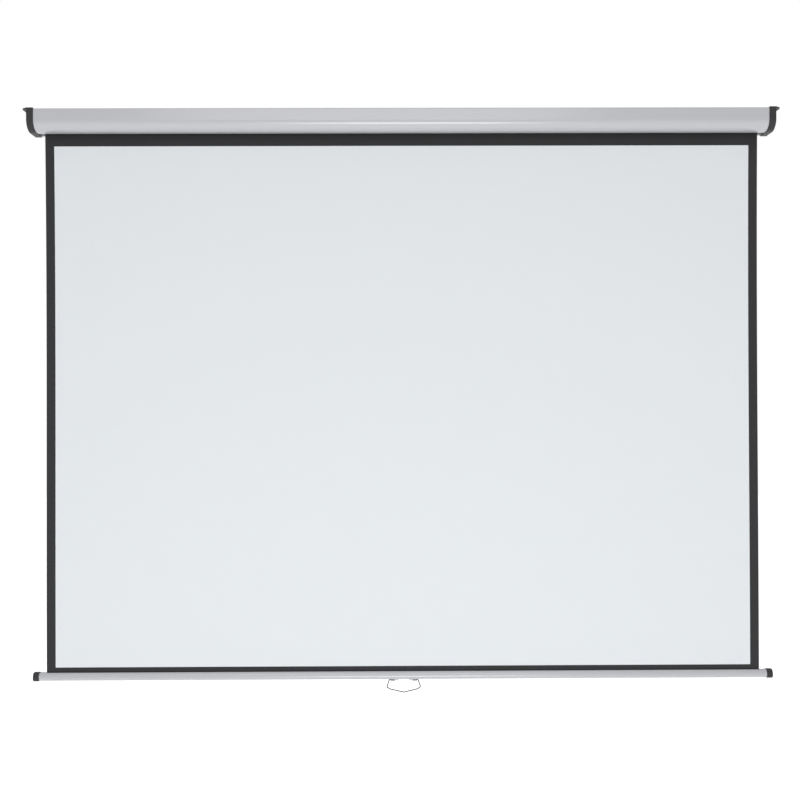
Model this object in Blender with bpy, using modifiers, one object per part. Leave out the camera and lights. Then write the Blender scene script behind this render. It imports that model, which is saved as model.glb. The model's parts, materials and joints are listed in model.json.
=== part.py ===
"""Pull down projector screen on a spring roller, at its real size.

Metres, +Z up, +X to the right of someone facing the screen and +Y towards the wall.
The origin is the middle of the case's flat back, so the wall is the plane Y = 0.
The screen is modelled drawn right down, with its lock pawls swung clear.
"""

import math

import bmesh
import bpy

# Clearances
FIT = 0.0003
RUNNING = 0.0005

# Case
CASE_PAST_FABRIC = 0.0125
CASE_HEIGHT = 0.060
CASE_DEPTH = 0.072
CASE_WALL = 0.0015
CASE_TOP_CORNER = 0.0025
CASE_FRONT_ROUND = 0.030
CASE_FRONT_LIP = 0.040
LIP_PAST_PORT = 0.001
PORT_WALL = 0.0018
PORT_CHAMFER = 0.003
PORT_INSET = 0.0052

# End caps and their mounting ears
CAP_BAND = 0.019
CAP_WALL = 0.004
CAP_SKIRT = 0.0012
CAP_EDGE = 0.0007
EAR_REACH = 0.0135
EAR_THICKNESS = 0.0044
EAR_RISE = 0.0009
EAR_CHAMFER = 0.010
EAR_HOLE_RADIUS = 0.0026
EAR_BACK = 0.0005

# Screws through the end caps
CAP_SCREW_RADIUS = 0.0017
CAP_SCREW_LENGTH = 0.015
CAP_SCREW_HEAD_RADIUS = 0.0032
CAP_SCREW_HEAD_HEIGHT = 0.0020
SCREW_TIP = 0.0010
RECESS_DEPTH = 0.0011
RECESS_WIDTH = 0.0009
RECESS_REACH = 0.6

# Roller brackets
BRACKET_PLATE = 0.002
BRACKET_BOSS_RADIUS = 0.0100
BRACKET_BOSS_LENGTH = 0.010

# Roller
ROLLER_RADIUS = 0.020
ROLLER_WALL = 0.0015
ROLLER_TO_WALL = 0.036
ROLLER_HEIGHT = 0.0
GROOVE_WIDTH = 0.0040
GROOVE_DEPTH = 0.0045
PLUG_FLANGE = 0.0025
PLUG_SPIGOT = 0.025
WRAP_THICKNESS = 0.0009
GUDGEON_RADIUS = 0.004
GUDGEON_CHAMFER = 0.001
BUSH_WALL = 0.003

# Fixed shaft, spring and its anchor
SHAFT_RADIUS = 0.004
TONGUE_THICKNESS = 0.004
SPRING_LENGTH = 0.400
SPRING_TURNS = 34
SPRING_WIRE_RADIUS = 0.0011
SPRING_NECK_RADIUS = 0.0085
SPRING_NECK_LENGTH = 0.014
ANCHOR_GAP = 0.001
ANCHOR_WIDTH = 0.008
GUIDE_WIDTH = 0.010
SHAFT_END = 0.003

# Ratchet and pawls
RATCHET_RADIUS = 0.009
RATCHET_WIDTH = 0.0045
NOTCHES = 4
NOTCH_DEPTH = 0.0025
NOTCH_RAMP_DEG = 32
TOOTH_WIDTH = 0.0026
TOOTH_CLEARANCE = 0.0004
PAWL_WIDTH = 0.003
PAWL_GAP = 0.0008
PAWL_PIVOT_DEG = 35
PAWL_SPAN_DEG = 55
PAWL_BOSS_RADIUS = 0.0032
PAWL_SWING_DEG = 20
PAWL_PIN_RADIUS = 0.0016
PAWL_PIN_HEAD_RADIUS = 0.0026
PAWL_PIN_HEAD = 0.0008
PAWL_PIN_DEPTH = 0.008

# Fabric
FABRIC_WIDTH = 2.000
SIDE_BORDER = 0.025
VIEW_HEIGHT = 1.460
VIEW_DROP = 0.0305
LOWER_BORDER = 0.014
BACKING_THICKNESS = 0.0003
VIEW_THICKNESS = 0.0002

# Bottom bar
BAR_PAST_FABRIC = 0.036
BAR_HEIGHT = 0.0215
BAR_WALL = 0.0015
BAR_TOP_HALF = 0.0045
BAR_NOSE_HALF = 0.0105
BAR_BASE_HALF = 0.0065
BAR_NOSE_DROP = 0.0145
BAR_SLOT_HALF = 0.0016
BAR_CAP_BAND = 0.017
BAR_CAP_WALL = 0.003
BAR_CAP_SKIRT = 0.0010
BAR_CAP_ROUND = 0.0035
HEM_ROD_RADIUS = 0.0025

# Pull handle
BAIL_WIRE_RADIUS = 0.0015
BAIL_AXLE_GAP = 0.0035
BAIL_KNEE_HALF = 0.0474
BAIL_KNEE_DROP = 0.0205
BAIL_FOOT_HALF = 0.0380
BAIL_FOOT_DROP = 0.0260
BAIL_DROP = 0.0350
BAIL_BEND = 0.0035
SADDLE_INNER = 0.024
SADDLE_LENGTH = 0.013
SADDLE_PLATE = 0.0015
SADDLE_DEPTH = 0.010
SADDLE_WALL = 0.0012
SADDLE_TAB = 0.010
SADDLE_SCREW_RADIUS = 0.0013
SADDLE_SCREW_LENGTH = 0.007
SADDLE_SCREW_HEAD_RADIUS = 0.0024
SADDLE_SCREW_HEAD_HEIGHT = 0.0015
SADDLE_RECESS_DEPTH = 0.0007
SADDLE_RECESS_WIDTH = 0.0006

# Facets
ROUND_STEPS = 40
SMALL_STEPS = 16
CORNER_STEPS = 4
FRONT_STEPS = 12
WELD = 0.00001

# Places worked out from the sizes above
HALF_HEIGHT = CASE_HEIGHT / 2
CASE_VISIBLE_LENGTH = FABRIC_WIDTH + 2 * CASE_PAST_FABRIC
PORT_BLOCK = PORT_INSET + CAP_SCREW_RADIUS + FIT + PORT_WALL
CASE_REAR_LIP = PORT_BLOCK + LIP_PAST_PORT
CAP_INNER_X = CASE_VISIBLE_LENGTH / 2
CAP_OUTER_X = CAP_INNER_X + CAP_BAND
CAP_FLOOR_X = CAP_OUTER_X - CAP_WALL
BRACKET_OUTER_X = CAP_FLOOR_X - FIT
BRACKET_INNER_X = BRACKET_OUTER_X - BRACKET_PLATE
CASE_END_X = BRACKET_INNER_X - FIT
BOSS_END_X = BRACKET_INNER_X - BRACKET_BOSS_LENGTH
RATCHET_OUTER_X = BOSS_END_X - FIT
RATCHET_INNER_X = RATCHET_OUTER_X - RATCHET_WIDTH
SPRING_PLUG_X = RATCHET_INNER_X - RUNNING
IDLE_PLUG_X = -(BOSS_END_X - RUNNING)
ROLLER_RIGHT_X = SPRING_PLUG_X - PLUG_FLANGE - FIT
ROLLER_LEFT_X = IDLE_PLUG_X + PLUG_FLANGE + FIT
ROLLER_Y = -ROLLER_TO_WALL
ROLLER_AXIS = (ROLLER_Y, ROLLER_HEIGHT)
ROLLER_BORE = ROLLER_RADIUS - ROLLER_WALL
GROOVE_FLOOR = ROLLER_RADIUS - GROOVE_DEPTH
CHANNEL_FLOOR = GROOVE_FLOOR - ROLLER_WALL
WRAP_RADIUS = ROLLER_RADIUS + FIT + WRAP_THICKNESS
SPRING_START_X = SPRING_PLUG_X - PLUG_FLANGE - PLUG_SPIGOT
ANCHOR_X = SPRING_START_X - SPRING_LENGTH
ANCHOR_RADIUS = CHANNEL_FLOOR - ANCHOR_GAP
GUIDE_X = ANCHOR_X - ANCHOR_WIDTH - RUNNING
SHAFT_END_X = GUIDE_X - GUIDE_WIDTH - SHAFT_END
BACKING_FRONT_Y = ROLLER_Y + WRAP_RADIUS + FIT
VIEW_FRONT_Y = BACKING_FRONT_Y - FIT - VIEW_THICKNESS
FABRIC_Y = BACKING_FRONT_Y + BACKING_THICKNESS / 2
VIEW_TOP_Z = -HALF_HEIGHT - VIEW_DROP
VIEW_BOTTOM_Z = VIEW_TOP_Z - VIEW_HEIGHT
BAR_TOP_Z = VIEW_BOTTOM_Z - LOWER_BORDER
BAR_BOTTOM_Z = BAR_TOP_Z - BAR_HEIGHT
BAR_LENGTH = FABRIC_WIDTH + 2 * BAR_PAST_FABRIC
BAR_END_X = BAR_LENGTH / 2 - BAR_CAP_WALL - FIT
HEM_ROD_Z = BAR_TOP_Z - BAR_WALL - FIT - HEM_ROD_RADIUS
BAIL_BORE = BAIL_WIRE_RADIUS + FIT
SADDLE_RADIUS = BAIL_BORE + SADDLE_WALL
SADDLE_TOP_Z = BAR_BOTTOM_Z - FIT
BAIL_AXIS_Z = SADDLE_TOP_Z - SADDLE_RADIUS
SADDLE_OUTER = SADDLE_INNER + SADDLE_LENGTH
SADDLE_TAB_INNER = SADDLE_INNER - SADDLE_TAB
SADDLE_SCREW_AT = SADDLE_INNER - SADDLE_TAB / 2
PAWL_PIVOT_RADIUS = RATCHET_RADIUS + PAWL_GAP + PAWL_BOSS_RADIUS

# Finishes: linear colour, roughness, metallic
FINISHES = {
    "silver_lacquer": ((0.58, 0.58, 0.60), 0.38, 0.35),
    "black_moulding": ((0.045, 0.045, 0.050), 0.50, 0.0),
    "galvanised_steel": ((0.45, 0.46, 0.47), 0.40, 0.9),
    "spring_steel": ((0.22, 0.22, 0.23), 0.35, 0.9),
    "white_nylon": ((0.75, 0.74, 0.70), 0.45, 0.0),
    "plated_wire": ((0.55, 0.55, 0.56), 0.18, 1.0),
    "black_fabric": ((0.040, 0.040, 0.043), 0.85, 0.0),
    "white_fabric": ((0.76, 0.78, 0.79), 0.90, 0.0),
}


def clear_scene():
    """Remove the objects that a new file starts with."""
    for thing in list(bpy.data.objects):
        bpy.data.objects.remove(thing, do_unlink=True)


def make_collection(name):
    """A collection of its own in the scene."""
    collection = bpy.data.collections.new(name)
    bpy.context.scene.collection.children.link(collection)
    return collection


def make_material(name):
    """A plain material with the colour, roughness and metallic value of one finish."""
    colour, roughness, metallic = FINISHES[name]
    material = bpy.data.materials.new(name)
    material.use_nodes = True
    shader = material.node_tree.nodes["Principled BSDF"]
    shader.inputs["Base Color"].default_value = (*colour, 1.0)
    shader.inputs["Roughness"].default_value = roughness
    shader.inputs["Metallic"].default_value = metallic
    material.diffuse_color = (*colour, 1.0)
    return material


def arc(centre, radius, start_deg, end_deg, steps):
    """Points along a round arc, both ends included."""
    points = []
    for step in range(steps + 1):
        angle = math.radians(start_deg + (end_deg - start_deg) * step / steps)
        points.append((centre[0] + radius * math.cos(angle), centre[1] + radius * math.sin(angle)))
    return points


def circle(centre, radius, steps):
    """Points round a full circle."""
    return arc(centre, radius, 0, 360, steps)[:-1]


def rectangle(half_width, half_height):
    """The four corners of a rectangle about the origin."""
    right, top = half_width, half_height
    return [(-right, -top), (right, -top), (right, top), (-right, top)]


def cross(half_length, half_width):
    """Outline of a screwdriver's cross recess, with arms that narrow towards their tips."""
    tip = 0.75 * half_width
    arm = [(half_length, tip), (half_width, half_width), (tip, half_length)]
    points = []
    for quarter, (side_u, side_v) in enumerate([(1, 1), (-1, 1), (-1, -1), (1, -1)]):
        for u, v in arm if quarter % 2 == 0 else reversed(arm):
            points.append((side_u * u, side_v * v))
    return points


def place(thing, collection, finish=None):
    """Put an object in its collection, with its material or as a hidden cutter."""
    collection.objects.link(thing)
    if finish is None:
        thing.hide_render = True
        thing.display_type = "WIRE"
    else:
        thing.data.materials.append(MATERIALS[finish])
    return thing


def primitive(name, make, finish):
    """An object from one bmesh primitive."""
    mesh = bpy.data.meshes.new(name)
    work = bmesh.new()
    make(work)
    work.to_mesh(mesh)
    work.free()
    return place(bpy.data.objects.new(name, mesh), PIECES if finish else CUTTERS, finish)


def box(name, low, high, finish=None):
    """Box between its lowest and its highest corner."""
    size = [b - a for a, b in zip(low, high)]

    def make(work):
        bmesh.ops.create_cube(work, size=1)
        bmesh.ops.scale(work, vec=size, verts=work.verts)

    thing = primitive(name, make, finish)
    thing.location = [(a + b) / 2 for a, b in zip(low, high)]
    return thing


def cylinder(name, radius, low, high, centre, finish=None, axis="X", steps=ROUND_STEPS):
    """Cylinder between low and high along an axis, about a centre in the plane across it."""

    def make(work):
        bmesh.ops.create_cone(
            work, cap_ends=True, segments=steps, radius1=radius, radius2=radius, depth=high - low
        )

    thing = primitive(name, make, finish)
    middle = (low + high) / 2
    if axis == "X":
        thing.rotation_euler = (0, math.pi / 2, 0)
        thing.location = (middle, *centre)
    else:
        thing.location = (*centre, middle)
    return thing


def extruded(name, outlines, low, high, finish=None, axis="X", centre=(0.0, 0.0)):
    """Solid between low and high along an axis, from flat outlines of which later ones are holes.

    Along X an outline is (depth, height) points, and along Z it is (x, y) points.
    The outlines are drawn about centre, which becomes the object's origin.
    """
    curve = bpy.data.curves.new(name, "CURVE")
    curve.dimensions = "2D"
    curve.fill_mode = "BOTH"
    curve.extrude = (high - low) / 2
    for points in outlines:
        spline = curve.splines.new("POLY")
        spline.points.add(len(points) - 1)
        for point, (u, v) in zip(spline.points, points):
            point.co = (u, v, 0, 1)
        spline.use_cyclic_u = True
    drawing = bpy.data.objects.new(name + "_outline", curve)
    bpy.context.scene.collection.objects.link(drawing)
    middle = (low + high) / 2
    if axis == "X":
        drawing.rotation_euler = (math.pi / 2, 0, math.pi / 2)
        drawing.location = (middle, *centre)
    else:
        drawing.location = (*centre, middle)
    bpy.context.view_layer.update()
    evaluated = drawing.evaluated_get(bpy.context.evaluated_depsgraph_get())
    solid = bpy.data.objects.new(name, bpy.data.meshes.new_from_object(evaluated))
    solid.matrix_world = drawing.matrix_world
    bpy.data.objects.remove(drawing, do_unlink=True)
    weld(solid.data)
    solid.data.materials.clear()
    return place(solid, PIECES if finish else CUTTERS, finish)


def weld(mesh):
    """Join a mesh's loose caps to its sides and leave flat faces whole."""
    work = bmesh.new()
    work.from_mesh(mesh)
    bmesh.ops.remove_doubles(work, verts=work.verts, dist=WELD)
    bmesh.ops.dissolve_limit(work, angle_limit=math.radians(0.05), verts=work.verts, edges=work.edges)
    bmesh.ops.recalc_face_normals(work, faces=work.faces)
    work.to_mesh(mesh)
    work.free()


def turned(name, profile, origin, direction, finish=None, steps=ROUND_STEPS):
    """Solid turned about a line through origin along +X, -X or -Z.

    The profile is (radius, distance) points, from its far end down the outer side.
    A ring's profile is closed, and a solid one starts and ends on the line.
    """
    mesh = bpy.data.meshes.new(name)
    last = len(profile) - 1
    edges = [(n, n + 1) for n in range(last)]
    if profile[0][0] > 0:
        edges.append((last, 0))
    mesh.from_pydata([(radius, 0, distance) for radius, distance in profile], edges, [])
    thing = bpy.data.objects.new(name, mesh)
    turns = {"+X": (0, math.pi / 2, 0), "-X": (0, -math.pi / 2, 0), "-Z": (math.pi, 0, 0)}
    thing.rotation_euler = turns[direction]
    thing.location = origin
    lathe = thing.modifiers.new("Turn", "SCREW")
    lathe.axis = "Z"
    lathe.steps = steps
    lathe.render_steps = steps
    lathe.use_merge_vertices = True
    lathe.merge_threshold = WELD
    return place(thing, PIECES if finish else CUTTERS, finish)


def wire(name, points, radius, resolution, finish):
    """Round wire along a line of points."""
    curve = bpy.data.curves.new(name, "CURVE")
    curve.dimensions = "3D"
    curve.bevel_depth = radius
    curve.bevel_resolution = resolution
    curve.use_fill_caps = True
    curve.render_resolution_u = 0
    spline = curve.splines.new("POLY")
    spline.points.add(len(points) - 1)
    for point, place_at in zip(spline.points, points):
        point.co = (*place_at, 1)
    thing = bpy.data.objects.new(name, curve)
    return place(thing, PIECES, finish)


def boolean(thing, tool, operation):
    """Cut a tool out of a piece, or join it on."""
    step = thing.modifiers.new(tool.name, "BOOLEAN")
    step.operation = operation
    step.object = tool
    return thing


def cut(thing, *tools):
    """Cut hidden solids out of a piece."""
    for tool in tools:
        boolean(thing, tool, "DIFFERENCE")
    return thing


def join(thing, tool):
    """Join a hidden solid onto a piece."""
    return boolean(thing, tool, "UNION")


def soften(thing, width, segments=2, weighted=None):
    """Round a piece's sharp edges, or only the edges whose middle passes a test."""
    bevel = thing.modifiers.new("Soften", "BEVEL")
    bevel.width = width
    bevel.segments = segments
    if weighted is None:
        bevel.limit_method = "ANGLE"
        bevel.angle_limit = math.radians(50)
        return thing
    bevel.limit_method = "WEIGHT"
    weights = thing.data.attributes.new("bevel_weight_edge", "FLOAT", "EDGE")
    for edge in thing.data.edges:
        ends = [thing.matrix_world @ thing.data.vertices[n].co for n in edge.vertices]
        weights.data[edge.index].value = weighted((ends[0] + ends[1]) / 2, (ends[1] - ends[0]))
    return thing


def axis_empty(name, location):
    """A guide that marks the axis of one moving body."""
    guide = bpy.data.objects.new(name, None)
    guide.location = location
    guide.empty_display_size = 0.02
    PIECES.objects.link(guide)
    bpy.context.view_layer.update()
    return guide


def carry(guide, *things):
    """Hang pieces on the guide of the body that they move with."""
    for thing in things:
        thing.parent = guide
        thing.matrix_parent_inverse = guide.matrix_world.inverted()


def case_outline(grow=0.0, back=0.0):
    """Side of the case as (depth, height), grown outwards at the front, top and underside."""
    front = -CASE_DEPTH - grow
    high, low = HALF_HEIGHT + grow, -HALF_HEIGHT - grow
    corner = CASE_TOP_CORNER + grow
    bend = CASE_FRONT_ROUND + grow
    points = [(back, low), (back, high)]
    points += arc((front + corner, high - corner), corner, 90, 180, CORNER_STEPS)
    points += arc((front + bend, low + bend), bend, 180, 270, FRONT_STEPS)
    return points


def port_places():
    """Centres of the three screw ports as (depth, height)."""
    top, back, front = HALF_HEIGHT - PORT_INSET, -PORT_INSET, -CASE_DEPTH + PORT_INSET
    return [(front, top), (back, top), (back, -top)]


def make_case():
    """Case: one extrusion with a slot underneath and screw ports in three corners."""
    wall, front = CASE_WALL, -CASE_DEPTH
    high, low = HALF_HEIGHT, -HALF_HEIGHT
    block, chamfer, bend = PORT_BLOCK, PORT_CHAMFER, CASE_FRONT_ROUND
    slot_front = front + CASE_FRONT_LIP
    section = [(-CASE_REAR_LIP, low), (0, low), (0, high)]
    section += case_outline()[2:]
    section += [(slot_front, low), (slot_front, low + wall)]
    section += arc((front + bend, low + bend), bend - wall, 270, 180, FRONT_STEPS)
    section += [(front + wall, high - block), (front + block - chamfer, high - block)]
    section += [(front + block, high - block + chamfer), (front + block, high - wall)]
    section += [(-block, high - wall), (-block, high - block + chamfer)]
    section += [(-block + chamfer, high - block), (-wall, high - block)]
    section += [(-wall, low + block), (-block + chamfer, low + block)]
    section += [(-block, low + block - chamfer), (-block, low + wall), (-CASE_REAR_LIP, low + wall)]
    bore = CAP_SCREW_RADIUS + FIT
    holes = [circle(centre, bore, SMALL_STEPS) for centre in port_places()]
    return extruded("case_shell", [section, *holes], -CASE_END_X, CASE_END_X, "silver_lacquer")


def make_end_cap(name, side):
    """End cap: closed end, skirt over the case and a mounting ear along the top edge."""
    outer = case_outline(FIT + CAP_SKIRT)
    pocket = case_outline(FIT, back=CAP_BAND)
    ends = sorted((side * CAP_INNER_X, side * CAP_OUTER_X))
    cap = extruded(name, [outer], *ends, "black_moulding")
    soften(cap, CAP_EDGE, 1)
    top = HALF_HEIGHT + FIT + CAP_SKIRT + EAR_RISE
    inner, tip = side * (CAP_INNER_X + CAP_EDGE), side * (CAP_OUTER_X + EAR_REACH)
    front = -CASE_DEPTH
    plate = [(inner, front), (side * CAP_OUTER_X, front), (tip, front + EAR_CHAMFER)]
    plate += [(tip, -EAR_BACK), (inner, -EAR_BACK)]
    ear = extruded(name + "_ear", [plate], top - EAR_THICKNESS, top, axis="Z")
    join(cap, ear)
    room = sorted((side * (CAP_INNER_X - CAP_BAND), side * CAP_FLOOR_X))
    cut(cap, extruded(name + "_pocket", [pocket], *room))
    hole_at = (side * (CAP_OUTER_X + EAR_REACH / 2), -CASE_DEPTH / 2)
    below, above = top - 2 * EAR_THICKNESS, top + EAR_THICKNESS
    radius = EAR_HOLE_RADIUS
    cut(cap, cylinder(name + "_ear_hole", radius, below, above, hole_at, axis="Z", steps=SMALL_STEPS))
    head, shank = CAP_SCREW_HEAD_RADIUS + FIT, CAP_SCREW_RADIUS + FIT
    seat = CAP_OUTER_X - CAP_SCREW_HEAD_HEIGHT - FIT
    sink_ends = sorted((side * seat, side * (CAP_OUTER_X + CAP_WALL)))
    bore_ends = sorted((side * (CAP_FLOOR_X - CAP_WALL), side * CAP_OUTER_X))
    for number, centre in enumerate(port_places(), 1):
        cut(cap, cylinder(f"{name}_bore_{number}", shank, *bore_ends, centre, steps=SMALL_STEPS))
        cut(cap, cylinder(f"{name}_sink_{number}", head, *sink_ends, centre, steps=SMALL_STEPS))
    return cap


def screw_profile(radius, length, head_radius, head_height):
    """Half section of a pan head screw, from the top of its head to its tip."""
    return [
        (0, head_height),
        (0.72 * head_radius, head_height),
        (head_radius, 0.5 * head_height),
        (head_radius, 0),
        (radius, 0),
        (radius, -length + SCREW_TIP),
        (radius - SCREW_TIP / 2, -length),
        (0, -length),
    ]


def make_cap_screws(side, word):
    """Three screws that hold an end cap and its bracket to the case."""
    seat = CAP_OUTER_X - CAP_SCREW_HEAD_HEIGHT
    profile = screw_profile(
        CAP_SCREW_RADIUS, CAP_SCREW_LENGTH, CAP_SCREW_HEAD_RADIUS, CAP_SCREW_HEAD_HEIGHT
    )
    for number, centre in enumerate(port_places(), 1):
        name = f"{word}_cap_screw_{number}"
        direction = "+X" if side > 0 else "-X"
        screw = turned(name, profile, (side * seat, *centre), direction, "galvanised_steel", SMALL_STEPS)
        deep = sorted((side * (CAP_OUTER_X - RECESS_DEPTH), side * (CAP_OUTER_X + RECESS_DEPTH)))
        recess = [cross(RECESS_REACH * CAP_SCREW_HEAD_RADIUS, RECESS_WIDTH / 2)]
        cut(screw, extruded(name + "_recess", recess, *deep, centre=centre))


def make_bracket(name, side, finish):
    """Bracket plate with a boss that points inwards, and holes for the cap screws."""
    ends = sorted((side * BRACKET_INNER_X, side * BRACKET_OUTER_X))
    bore = CAP_SCREW_RADIUS + FIT
    holes = [circle(centre, bore, SMALL_STEPS) for centre in port_places()]
    plate = extruded(name, [case_outline(), *holes], *ends, finish)
    middle = (BRACKET_INNER_X + BRACKET_OUTER_X) / 2
    boss_ends = sorted((side * BOSS_END_X, side * middle))
    return join(plate, cylinder(name + "_boss", BRACKET_BOSS_RADIUS, *boss_ends, ROLLER_AXIS))


def through_bracket(side):
    """Both ends, in order, of a cutter right through a bracket and its boss."""
    beyond = BRACKET_PLATE
    return sorted((side * (BOSS_END_X - beyond), side * (BRACKET_OUTER_X + beyond)))


def tongue_hole():
    """Outline of the hole that the shaft's flat tongue fits."""
    return rectangle(SHAFT_RADIUS + FIT, TONGUE_THICKNESS / 2 + FIT)


def make_brackets():
    """Idle bracket with its bush at the left, spring bracket at the right."""
    idle = make_bracket("idle_bracket", -1, "galvanised_steel")
    bush_radius = GUDGEON_RADIUS + FIT + BUSH_WALL
    cut(idle, cylinder("idle_bracket_seat", bush_radius + FIT, *through_bracket(-1), ROLLER_AXIS))
    bush_length = BRACKET_OUTER_X - BOSS_END_X
    bore = GUDGEON_RADIUS + FIT
    ring = [(bush_radius, bush_length), (bush_radius, 0), (bore, 0), (bore, bush_length)]
    turned("idle_bush", ring, (-BOSS_END_X, *ROLLER_AXIS), "-X", "white_nylon")
    spring = make_bracket("spring_bracket", 1, "galvanised_steel")
    slot = extruded("spring_bracket_slot", [tongue_hole()], *through_bracket(1), centre=ROLLER_AXIS)
    cut(spring, slot)


def make_shaft():
    """Fixed shaft, round inside the roller and flat where the bracket holds it."""
    tip, shoulder = BRACKET_OUTER_X - FIT, RATCHET_INNER_X - FIT
    shaft = cylinder("spring_shaft", SHAFT_RADIUS, SHAFT_END_X, tip, ROLLER_AXIS, "galvanised_steel")
    beyond, flat = 2 * SHAFT_RADIUS, TONGUE_THICKNESS / 2
    for word, low, high in (("upper", flat, beyond), ("lower", -beyond, -flat)):
        low_corner = (shoulder, ROLLER_Y - beyond, ROLLER_HEIGHT + low)
        high_corner = (tip + beyond, ROLLER_Y + beyond, ROLLER_HEIGHT + high)
        cut(shaft, box(f"spring_shaft_{word}_flat", low_corner, high_corner))


def make_ratchet():
    """Ratchet wheel: each notch has a square wall and a ramp that lets the tooth climb out."""
    floor = RATCHET_RADIUS - NOTCH_DEPTH
    half = TOOTH_WIDTH / 2 + TOOTH_CLEARANCE
    rim_half = math.degrees(math.asin(half / RATCHET_RADIUS))
    pitch = 360 / NOTCHES
    outline = []
    for number in range(NOTCHES):
        middle = 90 + number * pitch
        along = math.radians(middle)
        radial, tangent = (math.cos(along), math.sin(along)), (-math.sin(along), math.cos(along))
        for reach, aside in ((floor, -half), (floor, half)):
            outline.append(
                (reach * radial[0] + aside * tangent[0], reach * radial[1] + aside * tangent[1])
            )
        rim_start, rim_end = middle + rim_half, middle + pitch - rim_half - NOTCH_RAMP_DEG
        outline += arc((0, 0), RATCHET_RADIUS, rim_start, rim_end, 5)
    return extruded(
        "ratchet_wheel",
        [outline, tongue_hole()],
        RATCHET_INNER_X,
        RATCHET_OUTER_X,
        "spring_steel",
        centre=ROLLER_AXIS,
    )


def spring_mean_radius(points_per_turn):
    """Coil radius at which the straight chords still clear the neck inside them."""
    return (SPRING_NECK_RADIUS + FIT + SPRING_WIRE_RADIUS) / math.cos(math.pi / points_per_turn)


def make_spring():
    """Torsion spring round the fixed shaft, held by the anchor and by the roller's plug."""
    per_turn = 10
    radius = spring_mean_radius(per_turn)
    margin = SPRING_WIRE_RADIUS + FIT
    start, end = ANCHOR_X + margin, SPRING_START_X - margin
    points = []
    count = SPRING_TURNS * per_turn
    for step in range(count + 1):
        angle = 2 * math.pi * step / per_turn
        along = start + (end - start) * step / count
        across = ROLLER_Y + radius * math.cos(angle)
        points.append((along, across, ROLLER_HEIGHT + radius * math.sin(angle)))
    wire("torsion_spring", points, SPRING_WIRE_RADIUS, 1, "spring_steel")


def make_anchor():
    """Collar fixed on the shaft, with a neck that the spring's last turns grip."""
    bore, neck = SHAFT_RADIUS + FIT, SPRING_NECK_RADIUS
    length = ANCHOR_WIDTH + SPRING_NECK_LENGTH
    profile = [(neck, length), (neck, ANCHOR_WIDTH), (ANCHOR_RADIUS, ANCHOR_WIDTH)]
    profile += [(ANCHOR_RADIUS, 0), (bore, 0), (bore, length)]
    origin = (ANCHOR_X - ANCHOR_WIDTH, *ROLLER_AXIS)
    turned("spring_anchor", profile, origin, "+X", "galvanised_steel")


def groove_half_angle(half_width, radius):
    """Half the angle, in degrees, that a groove's width takes at a radius."""
    return math.degrees(math.asin(half_width / radius))


def make_roller_tube():
    """Roller tube with a groove along its front for the fabric's spline."""
    half, floor = GROOVE_WIDTH / 2, GROOVE_FLOOR
    gap = groove_half_angle(half, ROLLER_RADIUS)
    outer = arc((0, 0), ROLLER_RADIUS, -180 + gap, 180 - gap, ROUND_STEPS)
    outer += [(-floor, half), (-floor, -half)]
    half, floor = half + ROLLER_WALL, CHANNEL_FLOOR
    gap = groove_half_angle(half, ROLLER_BORE)
    inner = arc((0, 0), ROLLER_BORE, -180 + gap, 180 - gap, ROUND_STEPS)
    inner += [(-floor, half), (-floor, -half)]
    ends = (ROLLER_LEFT_X, ROLLER_RIGHT_X)
    return extruded("roller_tube", [outer, inner], *ends, "galvanised_steel", centre=ROLLER_AXIS)


def cut_keyway(thing, low, high):
    """Clear a plug round the channel that the groove makes inside the tube."""
    half = GROOVE_WIDTH / 2 + ROLLER_WALL + FIT
    floor = CHANNEL_FLOOR - FIT
    low_corner = (low, ROLLER_Y - 2 * ROLLER_RADIUS, ROLLER_HEIGHT - half)
    return cut(thing, box(thing.name + "_keyway", low_corner, (high, ROLLER_Y - floor, ROLLER_HEIGHT + half)))


def pawl_places():
    """Each pawl's letter and the angle of its pivot about the roller's axis."""
    return [("a", PAWL_PIVOT_DEG), ("b", PAWL_PIVOT_DEG + 180)]


def pawl_pivot(angle_deg):
    """Depth and height of a pawl's pivot."""
    angle = math.radians(angle_deg)
    across = ROLLER_Y + PAWL_PIVOT_RADIUS * math.cos(angle)
    return across, ROLLER_HEIGHT + PAWL_PIVOT_RADIUS * math.sin(angle)


def make_spring_plug():
    """Roller's right end plug: it carries the pawls and turns the spring with its neck."""
    bore, spigot = SHAFT_RADIUS + FIT, ROLLER_BORE - FIT
    base = SPRING_NECK_LENGTH
    shoulder = base + PLUG_SPIGOT
    length = shoulder + PLUG_FLANGE
    profile = [(ROLLER_RADIUS, length), (ROLLER_RADIUS, shoulder), (spigot, shoulder), (spigot, base)]
    profile += [(SPRING_NECK_RADIUS, base), (SPRING_NECK_RADIUS, 0), (bore, 0), (bore, length)]
    neck_x = SPRING_START_X - SPRING_NECK_LENGTH
    plug = turned("spring_end_plug", profile, (neck_x, *ROLLER_AXIS), "+X", "black_moulding")
    cut_keyway(plug, neck_x, ROLLER_RIGHT_X)
    radius = PAWL_PIN_RADIUS + FIT
    ends = (SPRING_PLUG_X - PAWL_PIN_DEPTH - FIT, SPRING_PLUG_X + PLUG_FLANGE)
    for letter, angle in pawl_places():
        hole = cylinder(f"pawl_pin_{letter}_hole", radius, *ends, pawl_pivot(angle), steps=SMALL_STEPS)
        cut(plug, hole)
    return plug


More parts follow.
